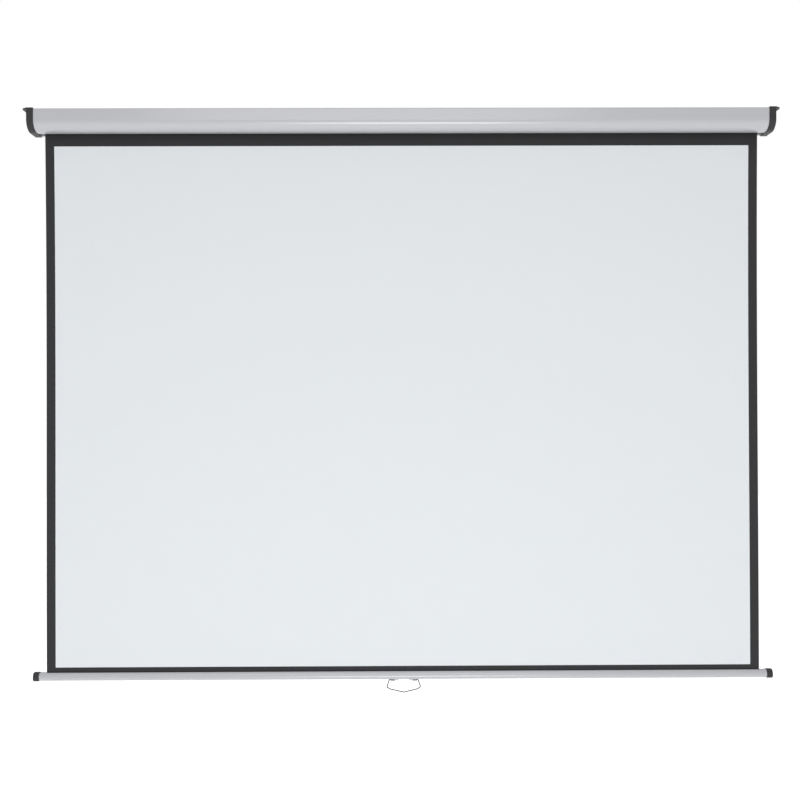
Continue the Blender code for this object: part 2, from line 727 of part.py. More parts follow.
def make_idle_plug():
    """Roller's left end plug and the gudgeon that turns in the idle bush."""
    bore, spigot = GUDGEON_RADIUS + FIT, ROLLER_BORE - FIT
    length = PLUG_SPIGOT + PLUG_FLANGE
    profile = [(ROLLER_RADIUS, length), (ROLLER_RADIUS, PLUG_SPIGOT), (spigot, PLUG_SPIGOT)]
    profile += [(spigot, 0), (bore, 0), (bore, length)]
    inner_x = IDLE_PLUG_X + length
    plug = turned("idle_end_plug", profile, (inner_x, *ROLLER_AXIS), "-X", "black_moulding")
    cut_keyway(plug, ROLLER_LEFT_X, inner_x + PLUG_FLANGE)
    reach = BRACKET_OUTER_X - FIT + inner_x
    radius, chamfer = GUDGEON_RADIUS, GUDGEON_CHAMFER
    pin = [(0, reach), (radius - chamfer, reach), (radius, reach - chamfer), (radius, 0), (0, 0)]
    gudgeon = turned("idle_gudgeon", pin, (inner_x, *ROLLER_AXIS), "-X", "galvanised_steel")
    return plug, gudgeon


def make_guide_bush():
    """Bush that keeps the shaft's inner end in the middle of the roller."""
    bore, rim = SHAFT_RADIUS + FIT, ROLLER_BORE - FIT
    ring = [(rim, GUIDE_WIDTH), (rim, 0), (bore, 0), (bore, GUIDE_WIDTH)]
    bush = turned("shaft_guide_bush", ring, (GUIDE_X - GUIDE_WIDTH, *ROLLER_AXIS), "+X", "white_nylon")
    return cut_keyway(bush, GUIDE_X - 2 * GUIDE_WIDTH, GUIDE_X + GUIDE_WIDTH)


def make_roller_fabric():
    """The turns of fabric left on the roller, and the spline that clamps their end."""
    half = FABRIC_WIDTH / 2
    inner = ROLLER_RADIUS + FIT
    ring = [(WRAP_RADIUS, 2 * half), (WRAP_RADIUS, 0), (inner, 0), (inner, 2 * half)]
    wrap = turned("fabric_wrap", ring, (-half, *ROLLER_AXIS), "+X", "black_fabric")
    aside = GROOVE_WIDTH / 2 - FIT
    outer, floor = ROLLER_Y - ROLLER_RADIUS + FIT, ROLLER_Y - GROOVE_FLOOR - FIT
    low_corner, high_corner = (-half, outer, ROLLER_HEIGHT - aside), (half, floor, ROLLER_HEIGHT + aside)
    return wrap, box("fabric_spline", low_corner, high_corner, "white_nylon")


def pawl_outline():
    """Pawl in its rest place about its own pivot: boss, curved arm and tooth."""
    pivot_radius, boss = PAWL_PIVOT_RADIUS, PAWL_BOSS_RADIUS
    inner = pivot_radius - boss
    tooth_deg = PAWL_SPAN_DEG
    half = TOOTH_WIDTH / 2
    along = math.radians(tooth_deg)
    radial, tangent = (math.cos(along), math.sin(along)), (-math.sin(along), math.cos(along))

    def tooth_point(reach, aside):
        return (reach * radial[0] + aside * tangent[0], reach * radial[1] + aside * tangent[1])

    root_deg = tooth_deg - math.degrees(math.asin(half / inner))
    back_deg = tooth_deg + math.degrees(math.asin(half / pivot_radius))
    meet_deg = 2 * math.degrees(math.asin(boss / (2 * pivot_radius)))
    tip = RATCHET_RADIUS - NOTCH_DEPTH + TOOTH_CLEARANCE
    points = arc((0, 0), inner, 0, root_deg, 6)
    points += [tooth_point(tip, -half), tooth_point(tip, half)]
    points += arc((0, 0), pivot_radius, back_deg, meet_deg, 6)
    points += arc((pivot_radius, 0), boss, 90 + meet_deg / 2, -180, 14)[1:-1]
    swing = math.radians(-PAWL_SWING_DEG)
    return [turn_about_pivot(point, swing) for point in points]


def turn_about_pivot(point, angle):
    """A point given from the roller's axis, as seen from the pivot and turned about it."""
    u, v = point[0] - PAWL_PIVOT_RADIUS, point[1]
    return (u * math.cos(angle) - v * math.sin(angle), u * math.sin(angle) + v * math.cos(angle))


def rotated(points, angle_deg):
    """Points turned about the origin."""
    turn = math.radians(angle_deg)
    return [
        (u * math.cos(turn) - v * math.sin(turn), u * math.sin(turn) + v * math.cos(turn))
        for u, v in points
    ]


def make_pawl(letter, angle_deg):
    """One gravity pawl, with its origin on its pivot."""
    low = SPRING_PLUG_X + RUNNING + FIT
    hole = circle((0, 0), PAWL_PIN_RADIUS + FIT, SMALL_STEPS)
    outlines, ends = [rotated(pawl_outline(), angle_deg), hole], (low, low + PAWL_WIDTH)
    return extruded(f"pawl_{letter}", outlines, *ends, "spring_steel", centre=pawl_pivot(angle_deg))


def make_pawl_pin(letter, angle_deg):
    """Pivot pin of one pawl, pressed into the roller's plug."""
    seat = SPRING_PLUG_X + RUNNING + FIT + PAWL_WIDTH + FIT
    length = seat - SPRING_PLUG_X + PAWL_PIN_DEPTH
    profile = [
        (0, PAWL_PIN_HEAD),
        (PAWL_PIN_HEAD_RADIUS, PAWL_PIN_HEAD),
        (PAWL_PIN_HEAD_RADIUS, 0),
        (PAWL_PIN_RADIUS, 0),
        (PAWL_PIN_RADIUS, -length),
        (0, -length),
    ]
    origin = (seat, *pawl_pivot(angle_deg))
    return turned(f"pawl_pin_{letter}", profile, origin, "+X", "galvanised_steel", SMALL_STEPS)


def make_fabric():
    """Black fabric from the roller down into the bar, and the white viewing surface on it."""
    half, view_half = FABRIC_WIDTH / 2, FABRIC_WIDTH / 2 - SIDE_BORDER
    backing = box(
        "screen_backing",
        (-half, BACKING_FRONT_Y, HEM_ROD_Z + HEM_ROD_RADIUS + FIT),
        (half, BACKING_FRONT_Y + BACKING_THICKNESS, ROLLER_HEIGHT),
        "black_fabric",
    )
    view = box(
        "viewing_surface",
        (-view_half, VIEW_FRONT_Y, VIEW_BOTTOM_Z),
        (view_half, VIEW_FRONT_Y + VIEW_THICKNESS, VIEW_TOP_Z),
        "white_fabric",
    )
    return backing, view


def bar_side(grow, steps=8):
    """One side of the bottom bar from top to bottom, as (half depth, height below its top).

    Two arcs meet upright at the nose. grow is outwards, so the inner side has a negative one.
    """
    upper_run, lower_run = BAR_NOSE_DROP, BAR_HEIGHT - BAR_NOSE_DROP
    upper_swell, lower_swell = BAR_NOSE_HALF - BAR_TOP_HALF, BAR_NOSE_HALF - BAR_BASE_HALF
    upper = (upper_swell**2 + upper_run**2) / (2 * upper_swell)
    lower = (lower_swell**2 + lower_run**2) / (2 * lower_swell)
    top_deg = math.degrees(math.asin((upper_run + grow) / (upper + grow)))
    base_deg = math.degrees(math.asin((lower_run + grow) / (lower + grow)))
    points = arc((BAR_NOSE_HALF - upper, -upper_run), upper + grow, top_deg, 0, steps)
    points += arc((BAR_NOSE_HALF - lower, -upper_run), lower + grow, 0, -base_deg, steps)[1:]
    return points


def mirrored(points):
    """The same side on the other side of the fabric, in reverse order."""
    return [(-u, v) for u, v in reversed(points)]


def make_bar():
    """Bottom bar: hollow extrusion with a slot along its top for the fabric."""
    outer, inner = bar_side(0.0), bar_side(-BAR_WALL)
    slot = BAR_SLOT_HALF
    section = [(slot, 0), *outer, *mirrored(outer), (-slot, 0), (-slot, -BAR_WALL)]
    section += [(-u, v) for u, v in inner]
    section += list(reversed(inner)) + [(slot, -BAR_WALL)]
    centre = (FABRIC_Y, BAR_TOP_Z)
    bar = extruded("bottom_bar", [section], -BAR_END_X, BAR_END_X, "silver_lacquer", centre=centre)
    radius, low, high = SADDLE_SCREW_RADIUS + FIT, BAR_BOTTOM_Z - BAR_WALL, BAR_BOTTOM_Z + 2 * BAR_WALL
    for side, word in ((-1, "left"), (1, "right")):
        at = (side * SADDLE_SCREW_AT, FABRIC_Y)
        cut(bar, cylinder(f"bar_{word}_hole", radius, low, high, at, axis="Z", steps=SMALL_STEPS))
    return bar


def make_bar_cap(name, side):
    """Cap over one end of the bottom bar, rounded at its outer end."""
    side_outer = bar_side(FIT + BAR_CAP_SKIRT)
    side_inner = bar_side(FIT)
    end, inner_end = BAR_LENGTH / 2, BAR_LENGTH / 2 - BAR_CAP_BAND
    centre = (FABRIC_Y, BAR_TOP_Z)
    ends = sorted((side * inner_end, side * end))
    cap = extruded(name, [side_outer + mirrored(side_outer)], *ends, "black_moulding", centre=centre)

    def outer_rim(middle, along):
        return 1.0 if abs(middle.x) > end - WELD and abs(along.x) < WELD else 0.0

    soften(cap, BAR_CAP_ROUND, 3, outer_rim)
    room = sorted((side * (inner_end - BAR_CAP_BAND), side * (end - BAR_CAP_WALL)))
    cut(cap, extruded(name + "_pocket", [side_inner + mirrored(side_inner)], *room, centre=centre))
    return cap


def make_hem_rod():
    """Rod in the fabric's lower hem, too thick to pass the bar's slot."""
    half, centre = FABRIC_WIDTH / 2, (FABRIC_Y, HEM_ROD_Z)
    return cylinder("hem_rod", HEM_ROD_RADIUS, -half, half, centre, "galvanised_steel", steps=SMALL_STEPS)


def make_saddle(name, side):
    """Saddle under the bar: barrel round the handle's axle, plate and screw tab."""
    low_x, high_x = sorted((side * SADDLE_TAB_INNER, side * SADDLE_OUTER))
    half, plate_z = SADDLE_DEPTH / 2, SADDLE_TOP_Z - SADDLE_PLATE
    low_corner, high_corner = (low_x, FABRIC_Y - half, plate_z), (high_x, FABRIC_Y + half, SADDLE_TOP_Z)
    saddle = box(name, low_corner, high_corner, "galvanised_steel")
    radius, inset = SADDLE_RADIUS, FIT / 2
    barrel = arc((0, 0), radius, 180, 360, SMALL_STEPS)
    barrel += [(radius, radius - inset), (-radius, radius - inset)]
    ends = sorted((side * SADDLE_INNER, side * (SADDLE_OUTER - inset)))
    centre = (FABRIC_Y, BAIL_AXIS_Z)
    join(saddle, extruded(name + "_barrel", [barrel], *ends, centre=centre))
    beyond = sorted((side * SADDLE_TAB_INNER, side * (SADDLE_OUTER + radius)))
    cut(saddle, cylinder(name + "_bore", BAIL_BORE, *beyond, centre, steps=SMALL_STEPS))
    screw_at = (side * SADDLE_SCREW_AT, FABRIC_Y)
    bore, low, high = SADDLE_SCREW_RADIUS + FIT, plate_z - SADDLE_PLATE, SADDLE_TOP_Z + SADDLE_PLATE
    return cut(saddle, cylinder(name + "_hole", bore, low, high, screw_at, axis="Z", steps=SMALL_STEPS))


def make_saddle_screw(name, side):
    """Small screw up through a saddle's tab into the bar."""
    seat = SADDLE_TOP_Z - SADDLE_PLATE - FIT
    profile = screw_profile(
        SADDLE_SCREW_RADIUS, SADDLE_SCREW_LENGTH, SADDLE_SCREW_HEAD_RADIUS, SADDLE_SCREW_HEAD_HEIGHT
    )
    origin = (side * SADDLE_SCREW_AT, FABRIC_Y, seat)
    screw = turned(name, profile, origin, "-Z", "galvanised_steel", SMALL_STEPS)
    bottom = seat - SADDLE_SCREW_HEAD_HEIGHT
    recess = [cross(RECESS_REACH * SADDLE_SCREW_HEAD_RADIUS, SADDLE_RECESS_WIDTH / 2)]
    deep = SADDLE_RECESS_DEPTH
    cut(screw, extruded(name + "_recess", recess, bottom - deep, bottom + deep, axis="Z", centre=origin[:2]))
    return screw


def rounded_path(corners, bend, steps):
    """A line through corners, with each inner corner bent to a radius."""
    points = [corners[0]]
    for before, corner, after in zip(corners, corners[1:], corners[2:]):
        to_before = unit(before[0] - corner[0], before[1] - corner[1])
        to_after = unit(after[0] - corner[0], after[1] - corner[1])
        half = math.acos(to_before[0] * to_after[0] + to_before[1] * to_after[1]) / 2
        reach = bend / math.tan(half)
        middle = unit(to_before[0] + to_after[0], to_before[1] + to_after[1])
        away = bend / math.sin(half)
        centre = (corner[0] + away * middle[0], corner[1] + away * middle[1])
        start = (corner[0] + reach * to_before[0], corner[1] + reach * to_before[1])
        end = (corner[0] + reach * to_after[0], corner[1] + reach * to_after[1])
        first = math.atan2(start[1] - centre[1], start[0] - centre[0])
        last = math.atan2(end[1] - centre[1], end[0] - centre[0])
        sweep = (last - first + math.pi) % (2 * math.pi) - math.pi
        points += arc(centre, bend, math.degrees(first), math.degrees(first + sweep), steps)
    return points + [corners[-1]]


def unit(u, v):
    """A direction of length one."""
    length = math.hypot(u, v)
    return u / length, v / length


def make_bail():
    """Wire pull handle: two axle ends, splayed arms with a bent knee, and a shallow V."""
    half = [
        (SADDLE_INNER, 0.0),
        (SADDLE_OUTER + BAIL_AXLE_GAP, 0.0),
        (BAIL_KNEE_HALF, -BAIL_KNEE_DROP),
        (BAIL_FOOT_HALF, -BAIL_FOOT_DROP),
        (0.0, -BAIL_DROP),
    ]
    corners = [(-u, v) for u, v in half] + list(reversed(half))[1:]
    points = [(u, 0.0, v) for u, v in rounded_path(corners, BAIL_BEND, CORNER_STEPS)]
    bail = wire("pull_handle", points, BAIL_WIRE_RADIUS, 2, "plated_wire")
    bail.location = (0, FABRIC_Y, BAIL_AXIS_Z)
    return bail


def make_fixed_pieces():
    """Everything that stays on the wall or the ceiling."""
    make_case()
    for side, word in ((-1, "left"), (1, "right")):
        make_end_cap(f"{word}_end_cap", side)
        make_cap_screws(side, word)
    make_brackets()
    make_shaft()
    make_ratchet()
    make_anchor()
    make_spring()


def make_roller():
    """The roller with its plugs, the fabric left on it and its two pawls."""
    axis = axis_empty("roller_axis", (0, ROLLER_Y, ROLLER_HEIGHT))
    carry(axis, make_roller_tube(), make_spring_plug(), *make_idle_plug())
    carry(axis, make_guide_bush(), *make_roller_fabric())
    for letter, angle in pawl_places():
        carry(axis, make_pawl_pin(letter, angle))
        pivot = axis_empty(f"pawl_{letter}_axis", (SPRING_PLUG_X, *pawl_pivot(angle)))
        carry(pivot, make_pawl(letter, angle))
        carry(axis, pivot)


def make_moving_screen():
    """Fabric, bottom bar and pull handle, which rise and fall together."""
    slide = axis_empty("screen_slide", (0, FABRIC_Y, BAR_TOP_Z))
    carry(slide, *make_fabric(), make_bar(), make_hem_rod())
    for side, word in ((-1, "left"), (1, "right")):
        carry(slide, make_bar_cap(f"{word}_bar_cap", side))
        carry(slide, make_saddle(f"{word}_saddle", side))
        carry(slide, make_saddle_screw(f"{word}_saddle_screw", side))
    swing = axis_empty("handle_axis", (0, FABRIC_Y, BAIL_AXIS_Z))
    carry(swing, make_bail())
    carry(slide, swing)


def shade_round():
    """Shade every piece smooth, with its real edges kept sharp."""
    for thing in PIECES.objects:
        if thing.type == "MESH":
            thing.data.shade_smooth()
            thing.data.set_sharp_from_angle(angle=math.radians(35))


clear_scene()
PIECES = make_collection("Pull down projector screen")
CUTTERS = make_collection("Cutters")
MATERIALS = {name: make_material(name) for name in FINISHES}
make_fixed_pieces()
make_roller()
make_moving_screen()
shade_round()
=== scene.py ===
"""Looks of a pull down projector screen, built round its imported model.

Metres, +Z up, +X to the right of someone facing the screen and +Y towards the wall.
Laid out as an add-on: each operator makes one piece, or one group of like pieces.
"""

import json
import math

import bmesh
import bpy
import numpy as np
from bpy.props import FloatProperty, FloatVectorProperty, IntProperty, PointerProperty
from bpy.types import Operator, Panel, PropertyGroup
from mathutils import Matrix, Vector


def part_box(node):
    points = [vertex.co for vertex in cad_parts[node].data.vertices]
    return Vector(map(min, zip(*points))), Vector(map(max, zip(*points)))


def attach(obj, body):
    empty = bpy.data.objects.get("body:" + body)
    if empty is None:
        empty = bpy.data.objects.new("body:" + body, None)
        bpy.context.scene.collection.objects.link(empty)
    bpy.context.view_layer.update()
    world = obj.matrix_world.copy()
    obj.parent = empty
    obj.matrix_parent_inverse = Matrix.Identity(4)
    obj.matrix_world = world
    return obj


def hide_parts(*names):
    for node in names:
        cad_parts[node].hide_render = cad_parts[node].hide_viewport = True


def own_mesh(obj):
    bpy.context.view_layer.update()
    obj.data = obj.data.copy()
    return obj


bl_info = {
    "name": "Pull Down Projector Screen",
    "version": (1, 0, 0),
    "blender": (4, 5, 0),
    "location": "View3D > Sidebar > Screen",
    "description": "Makes a projector screen on a spring roller, with its studio",
    "category": "Add Mesh",
}

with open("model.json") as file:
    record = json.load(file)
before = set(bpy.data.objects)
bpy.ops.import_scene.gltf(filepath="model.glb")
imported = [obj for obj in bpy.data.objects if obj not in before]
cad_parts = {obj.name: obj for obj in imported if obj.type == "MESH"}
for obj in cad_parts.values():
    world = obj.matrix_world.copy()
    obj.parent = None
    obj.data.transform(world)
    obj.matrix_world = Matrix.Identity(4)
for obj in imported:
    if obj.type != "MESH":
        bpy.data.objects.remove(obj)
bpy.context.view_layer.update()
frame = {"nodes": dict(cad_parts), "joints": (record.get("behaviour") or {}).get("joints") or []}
NODES = frame["nodes"]
MM = 0.001

# Gap between pieces that touch
FIT = 0.3 * MM

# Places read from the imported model
CASE_LOW, CASE_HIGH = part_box("case_shell")
CAP_LOW, CAP_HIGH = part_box("right_end_cap")
WRAP_LOW, WRAP_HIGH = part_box("fabric_wrap")
FABRIC_LOW, FABRIC_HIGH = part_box("screen_backing")
VIEW_LOW, VIEW_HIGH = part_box("viewing_surface")
BAR_LOW, BAR_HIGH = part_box("bottom_bar")
BAR_CAP_LOW, BAR_CAP_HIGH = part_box("right_bar_cap")
SADDLE_LOW, SADDLE_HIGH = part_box("right_saddle")
HANDLE_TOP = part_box("pull_handle")[1].z

# Distance of the end caps' closed faces, and of their screws' tops, from the middle
SCREW_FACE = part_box("right_cap_screw_1")[1].x

# Middles of the roller and of the hanging fabric's thickness, and how far the screen rises
ROLLER_Y = (WRAP_LOW.y + WRAP_HIGH.y) / 2
FABRIC_Y = (FABRIC_LOW.y + FABRIC_HIGH.y) / 2
TRAVEL = next(joint for joint in frame["joints"] if joint["name"] == "screen_slide")["range_m"][1]

# Sockets of the mix node that carry colours
MIX_FACTOR, MIX_FIRST, MIX_SECOND, MIX_RESULT = 0, 6, 7, 2

# The wave texture turns 20 radians for each unit of length
WAVE_TURN = 2 * math.pi / 20

# Where most of a noise texture's values lie
NOISE_SPAN = {"From Min": 0.3, "From Max": 0.7}

WHITE_LIGHT = (1.0, 1.0, 1.0, 1.0)

# Sides of a turned piece or a round hole, and runs in each arc of the bottom bar
ROUND_STEPS = 48
BAR_ARC_STEPS = 14

# Edges sharper than these are rounded over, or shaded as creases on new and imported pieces
ROUND_OVER_DEG = 40
CREASE_DEG = 32
PACKED_CREASE_DEG = 35

# How finely the hanging sheets are divided across and down
SHEET_COLUMNS, SHEET_ROWS = 150, 110

# The white coat, and how far its face stands out from the black fabric's
COAT_THICKNESS = 0.2 * MM
COAT_STAND = 0.25 * MM

# How far under the roller's axis the white coat stops when the screen is drawn up
COAT_UNDER_ROLLER = 4 * MM

# The innermost turn lies over the spline, and the outermost inside the hanging sheet
TURN_OVER_SPLINE = 0.5 * MM
TURN_IN_SHEET = 0.03 * MM
TURN_STEP_DEG = 5

# The ears end in front of the case's back
EAR_BACK = 0.5 * MM

# Radius round the cut ends of the handle's wire
WIRE_END_ROUND = 0.3 * MM

# Pitch of the rolled threads, and how deep they are for their radius
THREAD_PITCH = 0.8 * MM
THREAD_DEPTH = 0.12

# Middle of the picture, and how the camera is turned from facing the wall squarely
CAMERA_X, CAMERA_Z = -0.024, -0.774
CAMERA_YAW_DEG, CAMERA_ROLL_DEG = -0.336, -0.19
SENSOR_MM = 36.0

# Each lamp's place, what it is aimed at, its width and height, and whether metal mirrors it
LAMPS = {
    "low_lamp": ((0.09, -3.0, -1.78), (0, 0, -0.60), 1.35, 0.29, True),
    "bounce_lamp": ((-0.3, -2.2, -2.9), (-0.3, -1.6, 0), 8.0, 5.0, False),
    "high_lamp": ((-0.18, -4.0, 1.0), (0, 0, -0.70), 2.8, 1.6, True),
    "back_lamp": ((0.0, 3.5, 3.5), (0, 0, -0.70), 4.0, 3.0, False),
}


def size(name, millimetres, description):
    """A length that the user can change, with its default in millimetres."""
    return FloatProperty(
        name=name,
        description=description,
        default=millimetres * MM,
        min=0.0,
        unit="LENGTH",
        precision=5,
    )


def colour(name, hex_code, description):
    """A colour that the user can change, with its default as an sRGB hex value."""
    return FloatVectorProperty(
        name=name,
        description=description,
        default=linear(hex_code),
        size=3,
        min=0.0,
        max=1.0,
        subtype="COLOR",
    )


def watts(name, power, description):
    """The power of a lamp that the user can change, in watts."""
    return FloatProperty(name=name, description=description, default=power, min=0.0, unit="POWER")


def linear(hex_code):
    """The linear colour of an sRGB hex value."""
    channels = [int(hex_code[n : n + 2], 16) / 255 for n in (1, 3, 5)]
    return tuple(c / 12.92 if c <= 0.04045 else ((c + 0.055) / 1.055) ** 2.4 for c in channels)


class CaseSettings(PropertyGroup):
    """Sizes and colour of the case."""

    wall: size("Wall", 1.5, "Thickness of the extruded wall")
    top_corner: size("Top corner", 2.5, "Outer radius where the top meets the front")
    front_round: size("Front round", 30, "Outer radius where the front turns under")
    front_lip: size("Front lip", 40, "Depth of the underside in front of the slot")
    rear_lip: size("Rear lip", 10, "Depth of the underside behind the slot")
    edge_round: size("Edge round", 0.4, "Radius on the slot's lips and the back corners")
    port_block: size("Port block", 9, "Side of the thick corners that take the screws")
    port_chamfer: size("Port chamfer", 3, "Chamfer on the thick corners")
    port_inset: size("Port inset", 5.2, "Screw centre from the outer faces")
    lacquer: colour("Lacquer", "#BCBDC1", "Colour of the stoved lacquer on the case and the bar")


class CapSettings(PropertyGroup):
    """Sizes and colour of the end caps."""

    skirt: size("Skirt", 1.2, "Thickness of the skirt over the case")
    wall: size("End wall", 4, "Thickness of the closed end")
    edge_round: size("Edge round", 0.9, "Radius round the rims")
    ear_thickness: size("Ear thickness", 4.4, "Thickness of the mounting ear")
    ear_chamfer: size("Ear chamfer", 10, "Chamfer at the ear's front corner")
    ear_hole: size("Ear hole", 2.6, "Radius of the hole in the ear")
    ear_edge: size("Ear edge", 0.5, "Radius round the ear's edges")
    screw_radius: size("Screw radius", 1.7, "Radius of the cap screws' shanks")
    screw_head: size("Screw head", 3.2, "Radius of the cap screws' heads")
    screw_head_height: size("Head height", 2, "Height of the cap screws' heads")
    screw_length: size("Screw length", 15, "Length of the cap screws under the head")
    plastic: colour("Plastic", "#1A191C", "Colour of the black mouldings")


class FabricSettings(PropertyGroup):
    """Sizes and colours of the projection fabric."""

    thickness: size("Thickness", 0.3, "Thickness of the coated fabric")
    neck: size("Neck", 2.3, "How far each side edge draws in under tension, a third of the way down")
    ripple: size("Ripple", 0.5, "Depth of the slack waves across the hanging fabric")
    ripple_length: size("Ripple length", 410, "Distance between two slack waves")
    turns: IntProperty(name="Turns", description="Whole turns left on the roller", default=2, min=1)
    white: colour("White", "#E4E8EB", "Colour of the matt white viewing surface")
    black: colour("Black", "#28282A", "Colour of the black border and back")


class BarSettings(PropertyGroup):
    """Sizes of the bottom bar and its caps."""

    wall: size("Wall", 1.5, "Thickness of the extruded wall")
    top_half: size("Top", 4.5, "Half the depth at the top")
    nose_half: size("Nose", 10.5, "Half the depth at the widest place")
    base_half: size("Base", 6.5, "Half the depth at the underside")
    nose_drop: size("Nose drop", 14.5, "Height of the widest place under the top")
    slot_half: size("Slot", 1.6, "Half the width of the slot for the fabric")
    edge_round: size("Edge round", 0.4, "Radius on the slot's lips and the lower edges")
    cap_skirt: size("Cap skirt", 1.0, "Thickness of the caps' skirts")
    cap_wall: size("Cap end", 3, "Thickness of the caps' closed ends")
    cap_round: size("Cap round", 3.5, "Radius round the caps' outer rims")


class HandleSettings(PropertyGroup):
    """Sizes and colour of the pull handle, its saddles and their screws."""

    wire: size("Wire", 1.5, "Radius of the handle's wire")
    bend: size("Bend", 3.5, "Radius of the wire's bends")
    axle_gap: size("Axle gap", 3.5, "Length of bare axle outside each saddle")
    knee_half: size("Knee", 47.4, "Half the distance between the knees")
    knee_drop: size("Knee drop", 20.5, "Height of the knees under the axle")
    foot_half: size("Foot", 38, "Half the distance between the ends of the V")
    foot_drop: size("Foot drop", 26, "Height of the V's ends under the axle")
    drop: size("Drop", 35, "Height of the V's lowest point under the axle")
    saddle_wall: size("Saddle wall", 1.2, "Thickness of the saddle's loop")
    saddle_plate: size("Saddle plate", 1.5, "Thickness of the saddle's plate")
    saddle_tab: size("Saddle tab", 10, "Length of the saddle's tab")
    screw_radius: size("Screw radius", 1.3, "Radius of the saddle screws' shanks")
    screw_head: size("Screw head", 2.4, "Radius of the saddle screws' heads")
    screw_head_height: size("Head height", 1.5, "Height of the saddle screws' heads")
    screw_length: size("Screw length", 7, "Length of the saddle screws under the head")
    # The plating's default is darkened as a painted reflection of dark surroundings, which the white
    # room doesn't give
    plating: colour("Plating", "#58595C", "Colour of the darkened nickel plating")


class StageSettings(PropertyGroup):
    """The studio: floor, lamps, surroundings and camera."""

    floor_height: FloatProperty(
        name="Floor height", description="Height of the studio floor", default=-3.0, unit="LENGTH"
    )
    floor_side: size("Floor side", 40000, "Side of the studio floor")
    surroundings: FloatProperty(
        name="Surroundings",
        description="Light from the white room, where 1 is white",
        default=0.525,
        min=0.0,
    )
    low_lamp: watts("Low lamp", 11.0, "Power of the low lamp, mirrored along the round of the case")
    high_lamp: watts("High lamp", 12.4, "Power of the high lamp, in front of the case")
    bounce_lamp: watts("Bounce lamp", 205, "Power of the lamp that lights from below")
    back_lamp: watts("Back lamp", 140, "Power of the lamp that lights the top and the back")
    camera_distance: size("Camera distance", 2772, "Distance of the camera from the wall")
    focal_length: FloatProperty(
        name="Focal length",
        description="Focal length on a 36 mm wide sensor",
        default=0.04419,
        unit="CAMERA",
        precision=5,
    )


def settings(name):
    """One group of settings of the current scene."""
    return getattr(bpy.context.scene, "pull_screen_" + name)


# Outlines


def arc(centre, radius, start_deg, end_deg, steps):
    """Points along a round arc, both ends included."""
    angles = [math.radians(start_deg + (end_deg - start_deg) * n / steps) for n in range(steps + 1)]
    return [(centre[0] + radius * math.cos(a), centre[1] + radius * math.sin(a)) for a in angles]


def circle(centre, radius, steps=32):
    """Points round a full circle."""
    return arc(centre, radius, 0, 360, steps)[:-1]


def fillet(before, corner, after, radius, degrees_a_step):
    """Points of the round that takes a corner's place."""
    corner = Vector(corner)
    to_before = (Vector(before) - corner).normalized()
    to_after = (Vector(after) - corner).normalized()
    half = to_before.angle(to_after) / 2
    centre = corner + (to_before + to_after).normalized() * (radius / math.sin(half))
    start = corner + to_before * (radius / math.tan(half)) - centre
    end = corner + to_after * (radius / math.tan(half)) - centre
    first, last = math.atan2(start.y, start.x), math.atan2(end.y, end.x)
    sweep = math.degrees((last - first + math.pi) % (2 * math.pi) - math.pi)
    steps = max(3, math.ceil(abs(sweep) / degrees_a_step))
    return arc(centre, radius, math.degrees(first), math.degrees(first) + sweep, steps)


def rounded(corners, closed=True, degrees_a_step=6):
    """A line through corners given as (u, v, radius), with each one rounded to its radius."""
    points = []
    last = len(corners) - 1
    for n, (u, v, radius) in enumerate(corners):
        if radius == 0 or (not closed and n in (0, last)):
            points.append((u, v))
            continue
        before, after = corners[n - 1], corners[(n + 1) % len(corners)]
        points += fillet(before[:2], (u, v), after[:2], radius, degrees_a_step)
    return points


def mirrored(points):
    """The same outline on the other side of the middle, in reverse order."""
    return [(-u, v) for u, v in reversed(points)]


# Meshes


def new_object(name, mesh):
    """An object of a mesh, in the scene."""
    thing = bpy.data.objects.new(name, mesh)
    bpy.context.scene.collection.objects.link(thing)
    return thing


def applied(thing):
    """Turn a piece's modifiers, or its curve, into its mesh."""
    bpy.context.view_layer.update()
    evaluated = thing.evaluated_get(bpy.context.evaluated_depsgraph_get())
    mesh = bpy.data.meshes.new_from_object(evaluated)
    mesh.transform(thing.matrix_world)
    name = thing.name
    bpy.data.objects.remove(thing, do_unlink=True)
    return new_object(name, mesh)


def welded(thing):
    """Join a solid's loose caps to its sides."""
    work = bmesh.new()
    work.from_mesh(thing.data)
    bmesh.ops.remove_doubles(work, verts=work.verts, dist=0.01 * MM)
    bmesh.ops.recalc_face_normals(work, faces=work.faces)
    work.to_mesh(thing.data)
    work.free()
    return thing


def add_line(curve, points):
    """Add a line of straight runs through points to a curve."""
    spline = curve.splines.new("POLY")
    spline.points.add(len(points) - 1)
    for point, place in zip(spline.points, points):
        point.co = (*place, 1)
    return spline


def extruded(name, outlines, low, high, axis="X", centre=(0.0, 0.0)):
    """Solid between low and high along an axis, from flat outlines of which later ones are holes.

    Along X an outline is (depth, height) points, and along Z it is (x, y) points.
    """
    curve = bpy.data.curves.new(name, "CURVE")
    curve.dimensions = "2D"
    curve.fill_mode = "BOTH"
    curve.extrude = (high - low) / 2
    for points in outlines:
        add_line(curve, [(u, v, 0) for u, v in points]).use_cyclic_u = True
    thing = new_object(name, curve)
    if axis == "X":
        thing.rotation_euler = (math.pi / 2, 0, math.pi / 2)
        thing.location = ((low + high) / 2, *centre)
    else:
        thing.location = (*centre, (low + high) / 2)
    return welded(applied(thing))


def cylinder(name, radius, low, high, centre, axis="X"):
    """Round solid between low and high along an axis, about a centre in the plane across it."""
    return extruded(name, [circle((0, 0), radius, ROUND_STEPS)], low, high, axis, centre)


def facing(direction):
    """Turn from +Z to a direction."""
    return Vector(direction).to_track_quat("Z", "Y").to_matrix().to_4x4()


